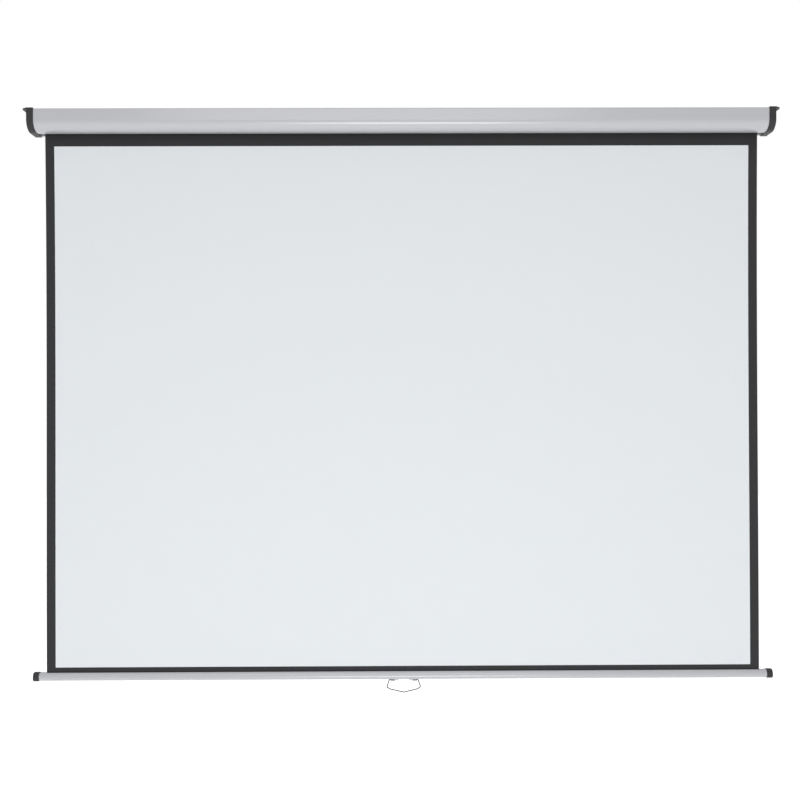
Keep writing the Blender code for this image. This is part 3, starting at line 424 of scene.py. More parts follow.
def turned(name, profile, origin, direction):
    """Solid turned from (radius, distance) points about a line through origin along a direction."""
    mesh = bpy.data.meshes.new(name)
    work = bmesh.new()
    line = [work.verts.new((radius, 0, distance)) for radius, distance in profile]
    edges = [work.edges.new(pair) for pair in zip(line, line[1:])]
    bmesh.ops.spin(
        work,
        geom=line + edges,
        cent=(0, 0, 0),
        axis=(0, 0, 1),
        angle=2 * math.pi,
        steps=ROUND_STEPS,
        use_merge=True,
    )
    bmesh.ops.remove_doubles(work, verts=work.verts, dist=0.001 * MM)
    bmesh.ops.recalc_face_normals(work, faces=work.faces)
    work.to_mesh(mesh)
    work.free()
    mesh.transform(Matrix.Translation(origin) @ facing(direction))
    return new_object(name, mesh)


def bevelled(thing, width, segments, chosen=None):
    """Round a piece's sharp edges, or only those that pass a test of their two ends."""
    work = bmesh.new()
    work.from_mesh(thing.data)
    bmesh.ops.dissolve_limit(work, angle_limit=math.radians(0.5), verts=work.verts, edges=work.edges)
    weights = work.edges.layers.float.new("bevel_weight_edge")
    for edge in work.edges:
        sharp = edge.calc_face_angle(0.0) > math.radians(ROUND_OVER_DEG)
        if sharp and (chosen is None or chosen(edge.verts[0].co, edge.verts[1].co)):
            edge[weights] = 1.0
    work.to_mesh(thing.data)
    work.free()
    bevel = thing.modifiers.new("Round", "BEVEL")
    bevel.width = width
    bevel.segments = segments
    bevel.limit_method = "WEIGHT"
    return applied(thing)


def carved(thing, tool, operation="DIFFERENCE"):
    """Cut a tool out of a piece, or join it on, and clear the tool away."""
    step = thing.modifiers.new("Carve", "BOOLEAN")
    step.operation = operation
    step.object = tool
    result = applied(thing)
    bpy.data.objects.remove(tool, do_unlink=True)
    return result


# Materials


def add_node(tree, kind, inputs=None, **properties):
    """Add one node, with its own properties and with a value or a link for each input named.

    A node that is given as an input is linked from its first output.
    """
    node = tree.nodes.new(kind)
    for key, value in properties.items():
        setattr(node, key, value)
    for key, value in (inputs or {}).items():
        if isinstance(value, bpy.types.Node):
            value = value.outputs[0]
        if isinstance(value, bpy.types.NodeSocket):
            tree.links.new(value, node.inputs[key])
        else:
            node.inputs[key].default_value = value
    return node


def new_material(name):
    """An empty node material, with the object's own coordinates in metres."""
    material = bpy.data.materials.get(name)
    if material is not None:
        bpy.data.materials.remove(material)
    material = bpy.data.materials.new(name)
    material.use_nodes = True
    tree = material.node_tree
    tree.nodes.clear()
    place = add_node(tree, "ShaderNodeTexCoord").outputs["Object"]
    return material, tree, place


def per_mm(millimetres):
    """Scale of a texture whose features are this far apart."""
    return 1 / (millimetres * MM)


def shade(rgb, factor):
    """A colour made lighter or darker, with its alpha."""
    return (*(min(1.0, channel * factor) for channel in rgb), 1.0)


def lacquered_aluminium():
    """Extruded aluminium with a stoved silver grey lacquer.

    The lacquer holds fine metal flakes, so it mirrors softly, and it keeps a faint orange peel
    and the drawn lines of the die along the length of the profile.
    """
    material, tree, place = new_material("lacquered_aluminium")
    lacquer = settings("case").lacquer
    # Clouds in the lacquer, four times as long as they are high
    lengthwise = add_node(tree, "ShaderNodeMapping", {"Vector": place, "Scale": (1 / 4, 1, 1)})
    cloud = add_node(tree, "ShaderNodeTexNoise", {"Vector": lengthwise, "Scale": per_mm(260)})
    clouded = add_node(tree, "ShaderNodeMapRange", {"Value": cloud, **NOISE_SPAN})
    base = add_node(
        tree,
        "ShaderNodeMix",
        {MIX_FACTOR: clouded, MIX_FIRST: shade(lacquer, 0.985), MIX_SECOND: shade(lacquer, 1.01)},
        data_type="RGBA",
    ).outputs[MIX_RESULT]
    # Flakes are under 0.1 mm, and their clusters show at about 1.6 mm
    flake = add_node(
        tree, "ShaderNodeTexNoise", {"Vector": place, "Scale": per_mm(1.6), "Detail": 3.0}
    )
    fleck = add_node(tree, "ShaderNodeMapRange", {"Value": flake, **NOISE_SPAN, "To Max": 0.35})
    tint = add_node(
        tree,
        "ShaderNodeMix",
        {MIX_FACTOR: fleck, MIX_FIRST: base, MIX_SECOND: shade(lacquer, 0.95)},
        data_type="RGBA",
    ).outputs[MIX_RESULT]
    gloss = add_node(
        tree,
        "ShaderNodeMapRange",
        {"Value": flake, **NOISE_SPAN, "To Min": 0.19, "To Max": 0.24},
    )
    # Lines of the die, drawn out along the profile, and the peel over them
    drawn = add_node(tree, "ShaderNodeMapping", {"Vector": place, "Scale": (1 / 400, 1, 1)})
    lines = add_node(tree, "ShaderNodeTexNoise", {"Vector": drawn, "Scale": per_mm(2.2)})
    peel = add_node(
        tree, "ShaderNodeTexNoise", {"Vector": place, "Scale": per_mm(3), "Detail": 1.0}
    )
    ridged = add_node(tree, "ShaderNodeBump", {"Height": lines, "Distance": 0.004 * MM})
    peeled = add_node(
        tree, "ShaderNodeBump", {"Height": peel, "Distance": 0.006 * MM, "Normal": ridged}
    )
    surface = add_node(
        tree,
        "ShaderNodeBsdfPrincipled",
        {"Base Color": tint, "Metallic": 0.15, "Roughness": gloss, "Normal": peeled},
    )
    add_node(tree, "ShaderNodeOutputMaterial", {"Surface": surface})
    return material


def moulded_plastic():
    """Black polypropylene with a fine spark eroded grain from its mould.

    The grain breaks up the highlights, and the tops of the grain are painted paler, a painted
    highlight where they catch the light.
    """
    material, tree, place = new_material("moulded_black_plastic")
    plastic = settings("cap").plastic
    cloud = add_node(tree, "ShaderNodeTexNoise", {"Vector": place, "Scale": per_mm(24)})
    clouded = add_node(tree, "ShaderNodeMapRange", {"Value": cloud, **NOISE_SPAN})
    base = add_node(
        tree,
        "ShaderNodeMix",
        {MIX_FACTOR: clouded, MIX_FIRST: shade(plastic, 0.9), MIX_SECOND: shade(plastic, 1.12)},
        data_type="RGBA",
    ).outputs[MIX_RESULT]
    grain = add_node(
        tree,
        "ShaderNodeTexNoise",
        {"Vector": place, "Scale": per_mm(0.9), "Detail": 3.0, "Roughness": 0.6},
    )
    # Painted highlight: the grain's tops are made paler, following the same noise as its bumps
    paler = add_node(tree, "ShaderNodeMapRange", {"Value": grain, **NOISE_SPAN, "To Max": 0.5})
    tint = add_node(
        tree,
        "ShaderNodeMix",
        {MIX_FACTOR: paler, MIX_FIRST: base, MIX_SECOND: shade(plastic, 1.5)},
        data_type="RGBA",
    ).outputs[MIX_RESULT]
    gloss = add_node(
        tree,
        "ShaderNodeMapRange",
        {"Value": grain, **NOISE_SPAN, "To Min": 0.46, "To Max": 0.60},
    )
    grained = add_node(tree, "ShaderNodeBump", {"Height": grain, "Distance": 0.035 * MM})
    surface = add_node(
        tree,
        "ShaderNodeBsdfPrincipled",
        {"Base Color": tint, "Roughness": gloss, "IOR": 1.49, "Normal": grained},
    )
    add_node(tree, "ShaderNodeOutputMaterial", {"Surface": surface})
    return material


def coated_fabric(name, rgb):
    """Woven glass fibre with a matt vinyl coating.

    The coating fills most of the weave, so the surface is dull and only the threads stand out
    of it. They are about 0.6 mm apart, and are drawn 1.2 mm apart, because finer ones don't show.
    A faint cloudiness comes from the uneven coating.
    """
    material, tree, place = new_material(name)
    threads = {"Vector": place, "Scale": per_mm(1.2) * WAVE_TURN, "Distortion": 0.0}
    warp = add_node(tree, "ShaderNodeTexWave", threads, bands_direction="X")
    weft = add_node(tree, "ShaderNodeTexWave", threads, bands_direction="Z")
    weave = add_node(tree, "ShaderNodeMath", {0: warp, 1: weft}, operation="MULTIPLY")
    cloud = add_node(
        tree, "ShaderNodeTexNoise", {"Vector": place, "Scale": per_mm(90), "Detail": 3.0}
    )
    clouded = add_node(tree, "ShaderNodeMapRange", {"Value": cloud, **NOISE_SPAN})
    base = add_node(
        tree,
        "ShaderNodeMix",
        {MIX_FACTOR: clouded, MIX_FIRST: shade(rgb, 0.992), MIX_SECOND: shade(rgb, 1.006)},
        data_type="RGBA",
    ).outputs[MIX_RESULT]
    woven = add_node(
        tree,
        "ShaderNodeMix",
        {MIX_FACTOR: weave, MIX_FIRST: shade(rgb, 0.975), MIX_SECOND: base},
        data_type="RGBA",
    ).outputs[MIX_RESULT]
    # Specks in the coating, each a few threads wide
    speck = add_node(
        tree, "ShaderNodeTexNoise", {"Vector": place, "Scale": per_mm(2.5), "Detail": 3.0}
    )
    duller = add_node(tree, "ShaderNodeMapRange", {"Value": speck, **NOISE_SPAN, "To Max": 0.4})
    tint = add_node(
        tree,
        "ShaderNodeMix",
        {MIX_FACTOR: duller, MIX_FIRST: woven, MIX_SECOND: shade(rgb, 0.97)},
        data_type="RGBA",
    ).outputs[MIX_RESULT]
    gloss = add_node(
        tree,
        "ShaderNodeMapRange",
        {"Value": speck, **NOISE_SPAN, "To Min": 0.72, "To Max": 0.84},
    )
    speckled = add_node(tree, "ShaderNodeBump", {"Height": speck, "Distance": 0.02 * MM})
    threaded = add_node(
        tree, "ShaderNodeBump", {"Height": weave, "Distance": 0.04 * MM, "Normal": speckled}
    )
    surface = add_node(
        tree,
        "ShaderNodeBsdfPrincipled",
        {"Base Color": tint, "Roughness": gloss, "IOR": 1.45, "Normal": threaded},
    )
    add_node(tree, "ShaderNodeOutputMaterial", {"Surface": surface})
    return material


def plated_wire():
    """Steel wire, drawn and then plated with nickel, with painted shade in its colour: the plating is
    darkened to stand in for the dark surroundings it mirrors.

    The plating is nearly a mirror, with the drawing lines just showing along the wire.
    """
    material, tree, place = new_material("nickel_plated_wire")
    plating = settings("handle").plating
    cloud = add_node(tree, "ShaderNodeTexNoise", {"Vector": place, "Scale": per_mm(9)})
    clouded = add_node(tree, "ShaderNodeMapRange", {"Value": cloud, **NOISE_SPAN})
    # Painted reflection: the darkened plating stands in for dark surroundings mirrored along the wire
    tint = add_node(
        tree,
        "ShaderNodeMix",
        {MIX_FACTOR: clouded, MIX_FIRST: shade(plating, 0.92), MIX_SECOND: shade(plating, 1.05)},
        data_type="RGBA",
    ).outputs[MIX_RESULT]
    drawn = add_node(tree, "ShaderNodeMapping", {"Vector": place, "Scale": (1 / 12, 1, 1)})
    lines = add_node(tree, "ShaderNodeTexNoise", {"Vector": drawn, "Scale": per_mm(0.5)})
    gloss = add_node(
        tree,
        "ShaderNodeMapRange",
        {"Value": lines, **NOISE_SPAN, "To Min": 0.14, "To Max": 0.24},
    )
    scored = add_node(tree, "ShaderNodeBump", {"Height": lines, "Distance": 0.004 * MM})
    surface = add_node(
        tree,
        "ShaderNodeBsdfPrincipled",
        {"Base Color": tint, "Metallic": 1.0, "Roughness": gloss, "Normal": scored},
    )
    add_node(tree, "ShaderNodeOutputMaterial", {"Surface": surface})
    return material


def coated_steel(name, hex_code, roughness, grain_mm, contrast):
    """Sheet, turned or drawn steel under zinc or scale: dull metal with grains of unlike grey."""
    material, tree, place = new_material(name)
    rgb = linear(hex_code)
    grains = add_node(
        tree, "ShaderNodeTexVoronoi", {"Vector": place, "Scale": per_mm(grain_mm)}
    ).outputs["Color"]
    grey = add_node(tree, "ShaderNodeRGBToBW", {"Color": grains})
    tint = add_node(
        tree,
        "ShaderNodeMix",
        {MIX_FACTOR: grey, MIX_FIRST: shade(rgb, 1 - contrast), MIX_SECOND: shade(rgb, 1 + contrast)},
        data_type="RGBA",
    ).outputs[MIX_RESULT]
    pits = add_node(
        tree, "ShaderNodeTexNoise", {"Vector": place, "Scale": per_mm(0.5), "Detail": 3.0}
    )
    gloss = add_node(
        tree,
        "ShaderNodeMapRange",
        {"Value": pits, **NOISE_SPAN, "To Min": roughness - 0.05, "To Max": roughness + 0.07},
    )
    pitted = add_node(tree, "ShaderNodeBump", {"Height": pits, "Distance": 0.006 * MM})
    surface = add_node(
        tree,
        "ShaderNodeBsdfPrincipled",
        {"Base Color": tint, "Metallic": 1.0, "Roughness": gloss, "Normal": pitted},
    )
    add_node(tree, "ShaderNodeOutputMaterial", {"Surface": surface})
    return material


def natural_nylon():
    """Moulded nylon in its own cream white, which looks waxy and a little cloudy."""
    material, tree, place = new_material("natural_nylon")
    rgb = linear("#DDDBD2")
    cloud = add_node(tree, "ShaderNodeTexNoise", {"Vector": place, "Scale": per_mm(6)})
    clouded = add_node(tree, "ShaderNodeMapRange", {"Value": cloud, **NOISE_SPAN})
    tint = add_node(
        tree,
        "ShaderNodeMix",
        {MIX_FACTOR: clouded, MIX_FIRST: shade(rgb, 0.95), MIX_SECOND: shade(rgb, 1.03)},
        data_type="RGBA",
    ).outputs[MIX_RESULT]
    gloss = add_node(
        tree,
        "ShaderNodeMapRange",
        {"Value": cloud, **NOISE_SPAN, "To Min": 0.38, "To Max": 0.48},
    )
    wax = add_node(tree, "ShaderNodeTexNoise", {"Vector": place, "Scale": per_mm(0.7)})
    waxy = add_node(tree, "ShaderNodeBump", {"Height": wax, "Distance": 0.01 * MM})
    surface = add_node(
        tree,
        "ShaderNodeBsdfPrincipled",
        {"Base Color": tint, "Roughness": gloss, "IOR": 1.53, "Normal": waxy},
    )
    add_node(tree, "ShaderNodeOutputMaterial", {"Surface": surface})
    return material


def studio_floor():
    """White painted floor, which the camera and mirrors see as white except in shadow."""
    material, tree, place = new_material("white_studio_floor")
    white = linear("#F5F5F5")
    cloud = add_node(tree, "ShaderNodeTexNoise", {"Vector": place, "Scale": per_mm(900)})
    clouded = add_node(tree, "ShaderNodeMapRange", {"Value": cloud, **NOISE_SPAN})
    tint = add_node(
        tree,
        "ShaderNodeMix",
        {MIX_FACTOR: clouded, MIX_FIRST: shade(white, 0.99), MIX_SECOND: shade(white, 1.0)},
        data_type="RGBA",
    ).outputs[MIX_RESULT]
    paint = add_node(tree, "ShaderNodeBsdfDiffuse", {"Color": tint})
    glow = add_node(tree, "ShaderNodeEmission", {"Color": WHITE_LIGHT, "Strength": 0.65})
    lit = add_node(tree, "ShaderNodeAddShader", {0: paint, 1: glow})
    mixed = add_node(tree, "ShaderNodeMixShader", {0: seen_directly(tree), 1: paint, 2: lit})
    add_node(tree, "ShaderNodeOutputMaterial", {"Surface": mixed})
    return material


def seen_directly(tree):
    """1 for what the camera sees, also in a mirror or through glass, and 0 for light that spreads."""
    rays = add_node(tree, "ShaderNodeLightPath").outputs
    total = rays["Is Camera Ray"]
    for name in ("Is Glossy Ray", "Is Transmission Ray"):
        total = add_node(tree, "ShaderNodeMath", {0: total, 1: rays[name]}, operation="MAXIMUM")
    return total


MAKERS = {
    "lacquer": lacquered_aluminium,
    "plastic": moulded_plastic,
    "white_fabric": lambda: coated_fabric("matt_white_vinyl_coat", settings("fabric").white),
    "black_fabric": lambda: coated_fabric("matt_black_vinyl_coat", settings("fabric").black),
    "wire": plated_wire,
    # The zinc's grey is darkened as a painted reflection of dark surroundings, which the white room
    # doesn't give
    "zinc": lambda: coated_steel("bright_zinc_plated_steel", "#77797D", 0.30, 1.2, 0.06),
    "galvanised": lambda: coated_steel("galvanised_steel_sheet", "#A9ABAD", 0.42, 8.0, 0.14),
    "spring_steel": lambda: coated_steel("oil_tempered_spring_steel", "#5F6064", 0.34, 2.0, 0.08),
    "nylon": natural_nylon,
    "floor": studio_floor,
}
MADE = {}


def finish_of(name):
    """The material of one finish, made when it is first asked for."""
    if name not in MADE:
        MADE[name] = MAKERS[name]()
    return MADE[name]


def finish_piece(thing, finish, body, node):
    """Shade a piece, give it its finish, tie it to its body, and hide the imported node that it stands
    for.
    """
    faces = thing.data.polygons
    thing.data.materials.clear()
    thing.data.materials.append(finish_of(finish))
    faces.foreach_set("material_index", [0] * len(faces))
    thing.data.shade_smooth()
    thing.data.set_sharp_from_angle(angle=math.radians(CREASE_DEG))
    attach(thing, body)
    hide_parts(node)


# The case and its end caps


def case_corners(grow=0.0):
    """Front corners of the case's section as (depth, height, radius), grown outwards."""
    case = settings("case")
    front, high, low = CASE_LOW.y - grow, CASE_HIGH.z + grow, CASE_LOW.z - grow
    return [(front, high, case.top_corner + grow), (front, low, case.front_round + grow)]


def port_places():
    """Centres of the three screw ports as (depth, height)."""
    inset = settings("case").port_inset
    top, bottom = CASE_HIGH.z - inset, CASE_LOW.z + inset
    return [(CASE_LOW.y + inset, top), (CASE_HIGH.y - inset, top), (CASE_HIGH.y - inset, bottom)]


def case_section():
    """Section of the case, from the rear lip over the top to the front lip and back inside."""
    case = settings("case")
    front, back, high, low = CASE_LOW.y, CASE_HIGH.y, CASE_HIGH.z, CASE_LOW.z
    wall, block, chamfer, edge = case.wall, case.port_block, case.port_chamfer, case.edge_round
    slot_front = front + case.front_lip
    outer = [(back - case.rear_lip, low, edge), (back, low, edge), (back, high, edge)]
    outer += case_corners()
    lip = [(slot_front, low, edge), (slot_front, low + wall, edge)]
    inner = [
        (front + wall, low + wall, case.front_round - wall),
        (front + wall, high - block, edge),
        (front + block - chamfer, high - block, edge),
        (front + block, high - block + chamfer, edge),
        (front + block, high - wall, edge),
        (back - block, high - wall, edge),
        (back - block, high - block + chamfer, edge),
        (back - block + chamfer, high - block, edge),
        (back - wall, high - block, edge),
        (back - wall, low + block, edge),
        (back - block + chamfer, low + block, edge),
        (back - block, low + block - chamfer, edge),
        (back - block, low + wall, 0),
        (back - case.rear_lip, low + wall, edge),
    ]
    return rounded(outer + lip + inner, degrees_a_step=3)


class PULLSCREEN_OT_case(Operator):
    """Make the extruded case"""

    bl_idname = "pull_screen.case"
    bl_label = "Case"

    def execute(self, context):
        bore = settings("cap").screw_radius + FIT
        holes = [circle(place, bore) for place in port_places()]
        case = extruded("case_profile", [case_section(), *holes], CASE_LOW.x, CASE_HIGH.x)
        finish_piece(case, "lacquer", "case", "case_shell")
        return {"FINISHED"}


def on_side(side, *places):
    """Places along X on one side of the middle, in rising order."""
    return sorted(side * place for place in places)


def make_end_cap(name, side):
    """End cap with a skirt over the case, a mounting ear and three sunk screw seats."""
    cap = settings("cap")
    inner, tip = CAP_LOW.x, CAP_HIGH.x
    outer = SCREW_FACE
    grow = FIT + cap.skirt
    top, bottom, back = CASE_HIGH.z + grow, CASE_LOW.z - grow, CASE_HIGH.y
    outline = rounded([(back, bottom, 0), (back, top, 0), *case_corners(grow)], degrees_a_step=3)
    body = extruded(name, [outline], *on_side(side, inner, outer))
    back_edge = back - 0.5 * cap.edge_round

    def rim(first, second):
        return abs(first.x - second.x) < FIT and not (first.y > back_edge and second.y > back_edge)

    body = bevelled(body, cap.edge_round, segments=4, chosen=rim)
    ear_top, front, back = CAP_HIGH.z, CASE_LOW.y, CASE_HIGH.y - EAR_BACK
    turn, past = 2.5 * MM, 20 * MM
    plate = [
        (side * (inner + cap.edge_round), front, 0),
        (side * outer, front, 0),
        (side * tip, front + cap.ear_chamfer, turn),
        (side * tip, back, turn),
        (side * (inner + cap.edge_round), back, 0),
    ]
    ear = extruded(name + "_ear", [rounded(plate)], ear_top - cap.ear_thickness, ear_top, axis="Z")
    body = carved(body, bevelled(ear, cap.ear_edge, segments=3), "UNION")
    pocket_corners = [(back + past, bottom + cap.skirt, 0), (back + past, top - cap.skirt, 0)]
    pocket = rounded(pocket_corners + case_corners(FIT), degrees_a_step=3)
    floor = outer - cap.wall
    body = carved(body, extruded(name + "_pocket", [pocket], *on_side(side, inner - past, floor)))
    hole_at = (side * (outer + tip) / 2, (CASE_LOW.y + CASE_HIGH.y) / 2)
    low, high = ear_top - 2 * cap.ear_thickness, ear_top + cap.ear_thickness
    body = carved(body, cylinder(name + "_hole", cap.ear_hole, low, high, hole_at, axis="Z"))
    seat = outer - cap.screw_head_height - FIT
    for place in port_places():
        shank = on_side(side, floor - cap.wall, outer)
        body = carved(body, cylinder(name + "_bore", cap.screw_radius + FIT, *shank, place))
        sink = on_side(side, seat, outer + cap.wall)
        body = carved(body, cylinder(name + "_sink", cap.screw_head + FIT, *sink, place))
    return body


class PULLSCREEN_OT_end_caps(Operator):
    """Make the two end caps"""

    bl_idname = "pull_screen.end_caps"
    bl_label = "End caps"

    def execute(self, context):
        for side, word in ((-1, "left"), (1, "right")):
            cap = make_end_cap(f"{word}_moulded_cap", side)
            finish_piece(cap, "plastic", "case", f"{word}_end_cap")
        return {"FINISHED"}


def make_screw(name, top, direction, radius, length, head, height):
    """Pan head screw with a cross recess, a rolled thread and a point."""
    pitch, depth = THREAD_PITCH, THREAD_DEPTH * radius
    head_profile = rounded(
        [(0, 0, 0), (head, 0, 0.75 * height), (head, -height, 0.1 * height), (radius, -height, 0)],
        closed=False,
        degrees_a_step=9,
    )
    thread = []
    turns = int((length - 2 * pitch) / pitch)
    for turn in range(turns):
        start = -height - 0.5 * pitch - turn * pitch
        thread += [(radius, start), (radius - depth, start - 0.5 * pitch)]
    end = -height - length
    tip = [(radius - depth, end + 1.2 * pitch), (0.25 * radius, end), (0, end)]
    screw = turned(name, head_profile + thread + tip, top, direction)
    reach, half, deep = 0.6 * head, 0.16 * head, 0.55 * height
    corners = [(-reach, -half), (reach, -half), (reach, half), (-reach, half)]
    recess = rounded([(*corner, 0.5 * half) for corner in corners])
    for degrees in (0, 90):
        slot = extruded(name + "_recess", [recess], -deep, deep, axis="Z")
        crosswise = Matrix.Rotation(math.radians(degrees), 4, "Z")
        slot.data.transform(Matrix.Translation(top) @ facing(direction) @ crosswise)
        screw = carved(screw, slot)
    return screw


class PULLSCREEN_OT_cap_screws(Operator):
    """Make the screws that hold the end caps"""

    bl_idname = "pull_screen.cap_screws"
    bl_label = "End cap screws"

    def execute(self, context):
        cap = settings("cap")
        sizes = (cap.screw_radius, cap.screw_length, cap.screw_head, cap.screw_head_height)
        for side, word in ((-1, "left"), (1, "right")):
            for number, place in enumerate(port_places(), 1):
                top = (side * SCREW_FACE, *place)
                screw = make_screw(f"{word}_pan_screw_{number}", top, (side, 0, 0), *sizes)
                finish_piece(screw, "zinc", "case", f"{word}_cap_screw_{number}")
        return {"FINISHED"}


# The fabric


def drawn_in(down):
    """Share of the full neck at a share of the way down: most at a third, none at either end."""
    return 27 / 4 * down * (1 - down) ** 2


def slack(x, down):
    """How far the hanging fabric stands forward at a place across and a share of the way down.

    Two waves of unlike length cross the fabric, and the longer one drifts sideways on its way
    down. Both fade out towards the roller and the bar, which hold the fabric flat.
    """
    fabric = settings("fabric")
    phase = 2 * math.pi * x / fabric.ripple_length
    waves = np.sin(phase + 0.6) * 0.6 + np.sin(0.53 * phase + 2.1 + 1.4 * down) * 0.4
    return fabric.ripple * waves * np.sin(math.pi * down) ** 2


def make_hanging(name, half_width, top, bottom, front_y, thickness):
    """Thin closed sheet between two heights, which necks in and ripples as hanging fabric does."""
    fabric = settings("fabric")
    columns, rows = SHEET_COLUMNS, SHEET_ROWS
    across = np.linspace(-1, 1, columns + 1)
    heights = np.linspace(top, bottom, rows + 1)
    x_unit, z = np.meshgrid(across, heights)
    down = (FABRIC_HIGH.z - z) / (FABRIC_HIGH.z - FABRIC_LOW.z)
    x = x_unit * (half_width - fabric.neck * drawn_in(down))
    y = front_y - slack(x, down)
    layers = [np.stack([x, y + back, z], axis=-1).reshape(-1, 3) for back in (0.0, thickness)]
    stride, count = columns + 1, (columns + 1) * (rows + 1)
    faces = []
    for row in range(rows):
        for column in range(columns):
            a = row * stride + column
            b, c, d = a + 1, a + stride + 1, a + stride
            faces.append((a, d, c, b))
            faces.append((a + count, b + count, c + count, d + count))
    top_row, bottom_row = range(stride), range(rows * stride, count)
    left, right = range(0, count, stride), range(columns, count, stride)
    for rim, flipped in ((top_row, False), (bottom_row, True), (left, True), (right, False)):
        for a, b in zip(rim, rim[1:]):
            face = (a, b, b + count, a + count)
            faces.append(face[::-1] if flipped else face)
    mesh = bpy.data.meshes.new(name)
    mesh.from_pydata(np.concatenate(layers).tolist(), [], faces)
    return welded(new_object(name, mesh))


class PULLSCREEN_OT_hanging_fabric(Operator):
    """Make the hanging fabric and the white surface on it"""

    bl_idname = "pull_screen.hanging_fabric"
    bl_label = "Hanging fabric"

    def execute(self, context):
        thickness = settings("fabric").thickness
        top, bottom = FABRIC_HIGH.z, FABRIC_LOW.z
        sheet = make_hanging(
            "black_backed_fabric", FABRIC_HIGH.x, top, bottom, FABRIC_LOW.y, thickness
        )
        finish_piece(sheet, "black_fabric", "screen", "screen_backing")
        white = make_hanging(
            "white_viewing_coat",
            VIEW_HIGH.x,
            VIEW_HIGH.z,
            VIEW_LOW.z,
            FABRIC_LOW.y - COAT_STAND,
            COAT_THICKNESS,
        )
        finish_piece(white, "white_fabric", "screen", "viewing_surface")
        # Each sheet gets a mesh of its own. The lengths that would stay hanging when the screen is
        # drawn up are worked out, with the white coat's ending just under the roller because higher up
        # it would touch the turns, but nothing uses them
        left_over = top - bottom - TRAVEL
        for piece, full, short in (
            (sheet, top - bottom, left_over),
            (white, VIEW_HIGH.z - bottom, left_over - COAT_UNDER_ROLLER),
        ):
            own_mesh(piece)
        return {"FINISHED"}


class PULLSCREEN_OT_wound_fabric(Operator):
    """Make the turns of fabric that stay on the roller"""

    bl_idname = "pull_screen.wound_fabric"
    bl_label = "Wound fabric"

    def execute(self, context):
        fabric = settings("fabric")
        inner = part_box("fabric_spline")[0].y
        start = ROLLER_Y - inner + TURN_OVER_SPLINE
        # The last turn lies inside the hanging sheet, so it stays clear as the roller turns
        end = FABRIC_LOW.y - ROLLER_Y - fabric.thickness - TURN_IN_SHEET
        sweep = 360 * fabric.turns + 180
        steps = sweep // TURN_STEP_DEG
        face, back = [], []
        for step in range(steps + 1):
            angle = math.radians(180 - sweep * step / steps)
            radius = start + (end - start) * step / steps
            face.append((radius * math.cos(angle), radius * math.sin(angle)))
            radius += fabric.thickness
            back.append((radius * math.cos(angle), radius * math.sin(angle)))
        centre = (ROLLER_Y, 0.0)
        outline = [face + back[::-1]]
        wound = extruded("wound_fabric", outline, FABRIC_LOW.x, FABRIC_HIGH.x, centre=centre)
        finish_piece(wound, "black_fabric", "roller", "fabric_wrap")
        return {"FINISHED"}


# The bottom bar


def bar_side(grow):
    """One side of the bottom bar from top to bottom, as (half depth, height below its top).

    Two arcs meet upright at the nose. grow is outwards, so the inner side has a negative one.
    """
    bar = settings("bar")
    height = BAR_HIGH.z - BAR_LOW.z
    upper_run, lower_run = bar.nose_drop, height - bar.nose_drop
    upper_swell, lower_swell = bar.nose_half - bar.top_half, bar.nose_half - bar.base_half
    upper = (upper_swell**2 + upper_run**2) / (2 * upper_swell)
    lower = (lower_swell**2 + lower_run**2) / (2 * lower_swell)
    top_deg = math.degrees(math.asin((upper_run + grow) / (upper + grow)))
    base_deg = math.degrees(math.asin((lower_run + grow) / (lower + grow)))
    upper_centre = (bar.nose_half - upper, -upper_run)
    lower_centre = (bar.nose_half - lower, -upper_run)
    points = arc(upper_centre, upper + grow, top_deg, 0, BAR_ARC_STEPS)
    return points + arc(lower_centre, lower + grow, 0, -base_deg, BAR_ARC_STEPS)[1:]


def with_edge(points, radius, ends):
    """An outline's points with a radius on those listed and none on the rest."""
    return [(u, v, radius if n in ends else 0) for n, (u, v) in enumerate(points)]


class PULLSCREEN_OT_bottom_bar(Operator):
    """Make the extruded bottom bar"""

    bl_idname = "pull_screen.bottom_bar"
    bl_label = "Bottom bar"

    def execute(self, context):
        bar, handle = settings("bar"), settings("handle")
        outer, inner = bar_side(0.0), bar_side(-bar.wall)
        slot, wall = bar.slot_half, bar.wall
        section = [(slot, 0), *outer, *mirrored(outer), (-slot, 0), (-slot, -wall)]
        section += [(-u, v) for u, v in inner] + list(reversed(inner)) + [(slot, -wall)]
        # The slot's lips inside and out, and the bar's upper and lower edges are rounded
        base = len(outer)
        rounds = {0, 1, base, base + 1, 2 * base, 2 * base + 1, 2 * base + 2, len(section) - 1}
        outline = rounded(with_edge(section, bar.edge_round, rounds), degrees_a_step=15)
        centre = (FABRIC_Y, BAR_HIGH.z)
        profile = extruded("bar_profile", [outline], BAR_LOW.x, BAR_HIGH.x, centre=centre)
        low, high = BAR_LOW.z - wall, BAR_LOW.z + 2 * wall
        for side in (-1, 1):
            place = (side * saddle_screw_x(), FABRIC_Y)
            hole = cylinder("bar_hole", handle.screw_radius + FIT, low, high, place, axis="Z")
            profile = carved(profile, hole)
        finish_piece(profile, "lacquer", "screen", "bottom_bar")
        return {"FINISHED"}


def make_bar_cap(name, side):
    """Cap over one end of the bottom bar, well rounded at its outer end."""
    bar = settings("bar")
    inner, outer = BAR_CAP_LOW.x, BAR_CAP_HIGH.x
    half, pocket_half = bar_side(FIT + bar.cap_skirt), bar_side(FIT)
    centre = (FABRIC_Y, BAR_HIGH.z)
    cap = extruded(name, [half + mirrored(half)], *on_side(side, inner, outer), centre=centre)

    def outer_rim(first, second):
        return min(abs(first.x), abs(second.x)) > outer - FIT

    cap = bevelled(cap, bar.cap_round, segments=6, chosen=outer_rim)

    def inner_rim(first, second):
        return max(abs(first.x), abs(second.x)) < inner + FIT

    cap = bevelled(cap, bar.edge_round, segments=2, chosen=inner_rim)
    room = on_side(side, 2 * inner - outer, outer - bar.cap_wall)
    pocket = extruded(name + "_pocket", [pocket_half + mirrored(pocket_half)], *room, centre=centre)
    return carved(cap, pocket)


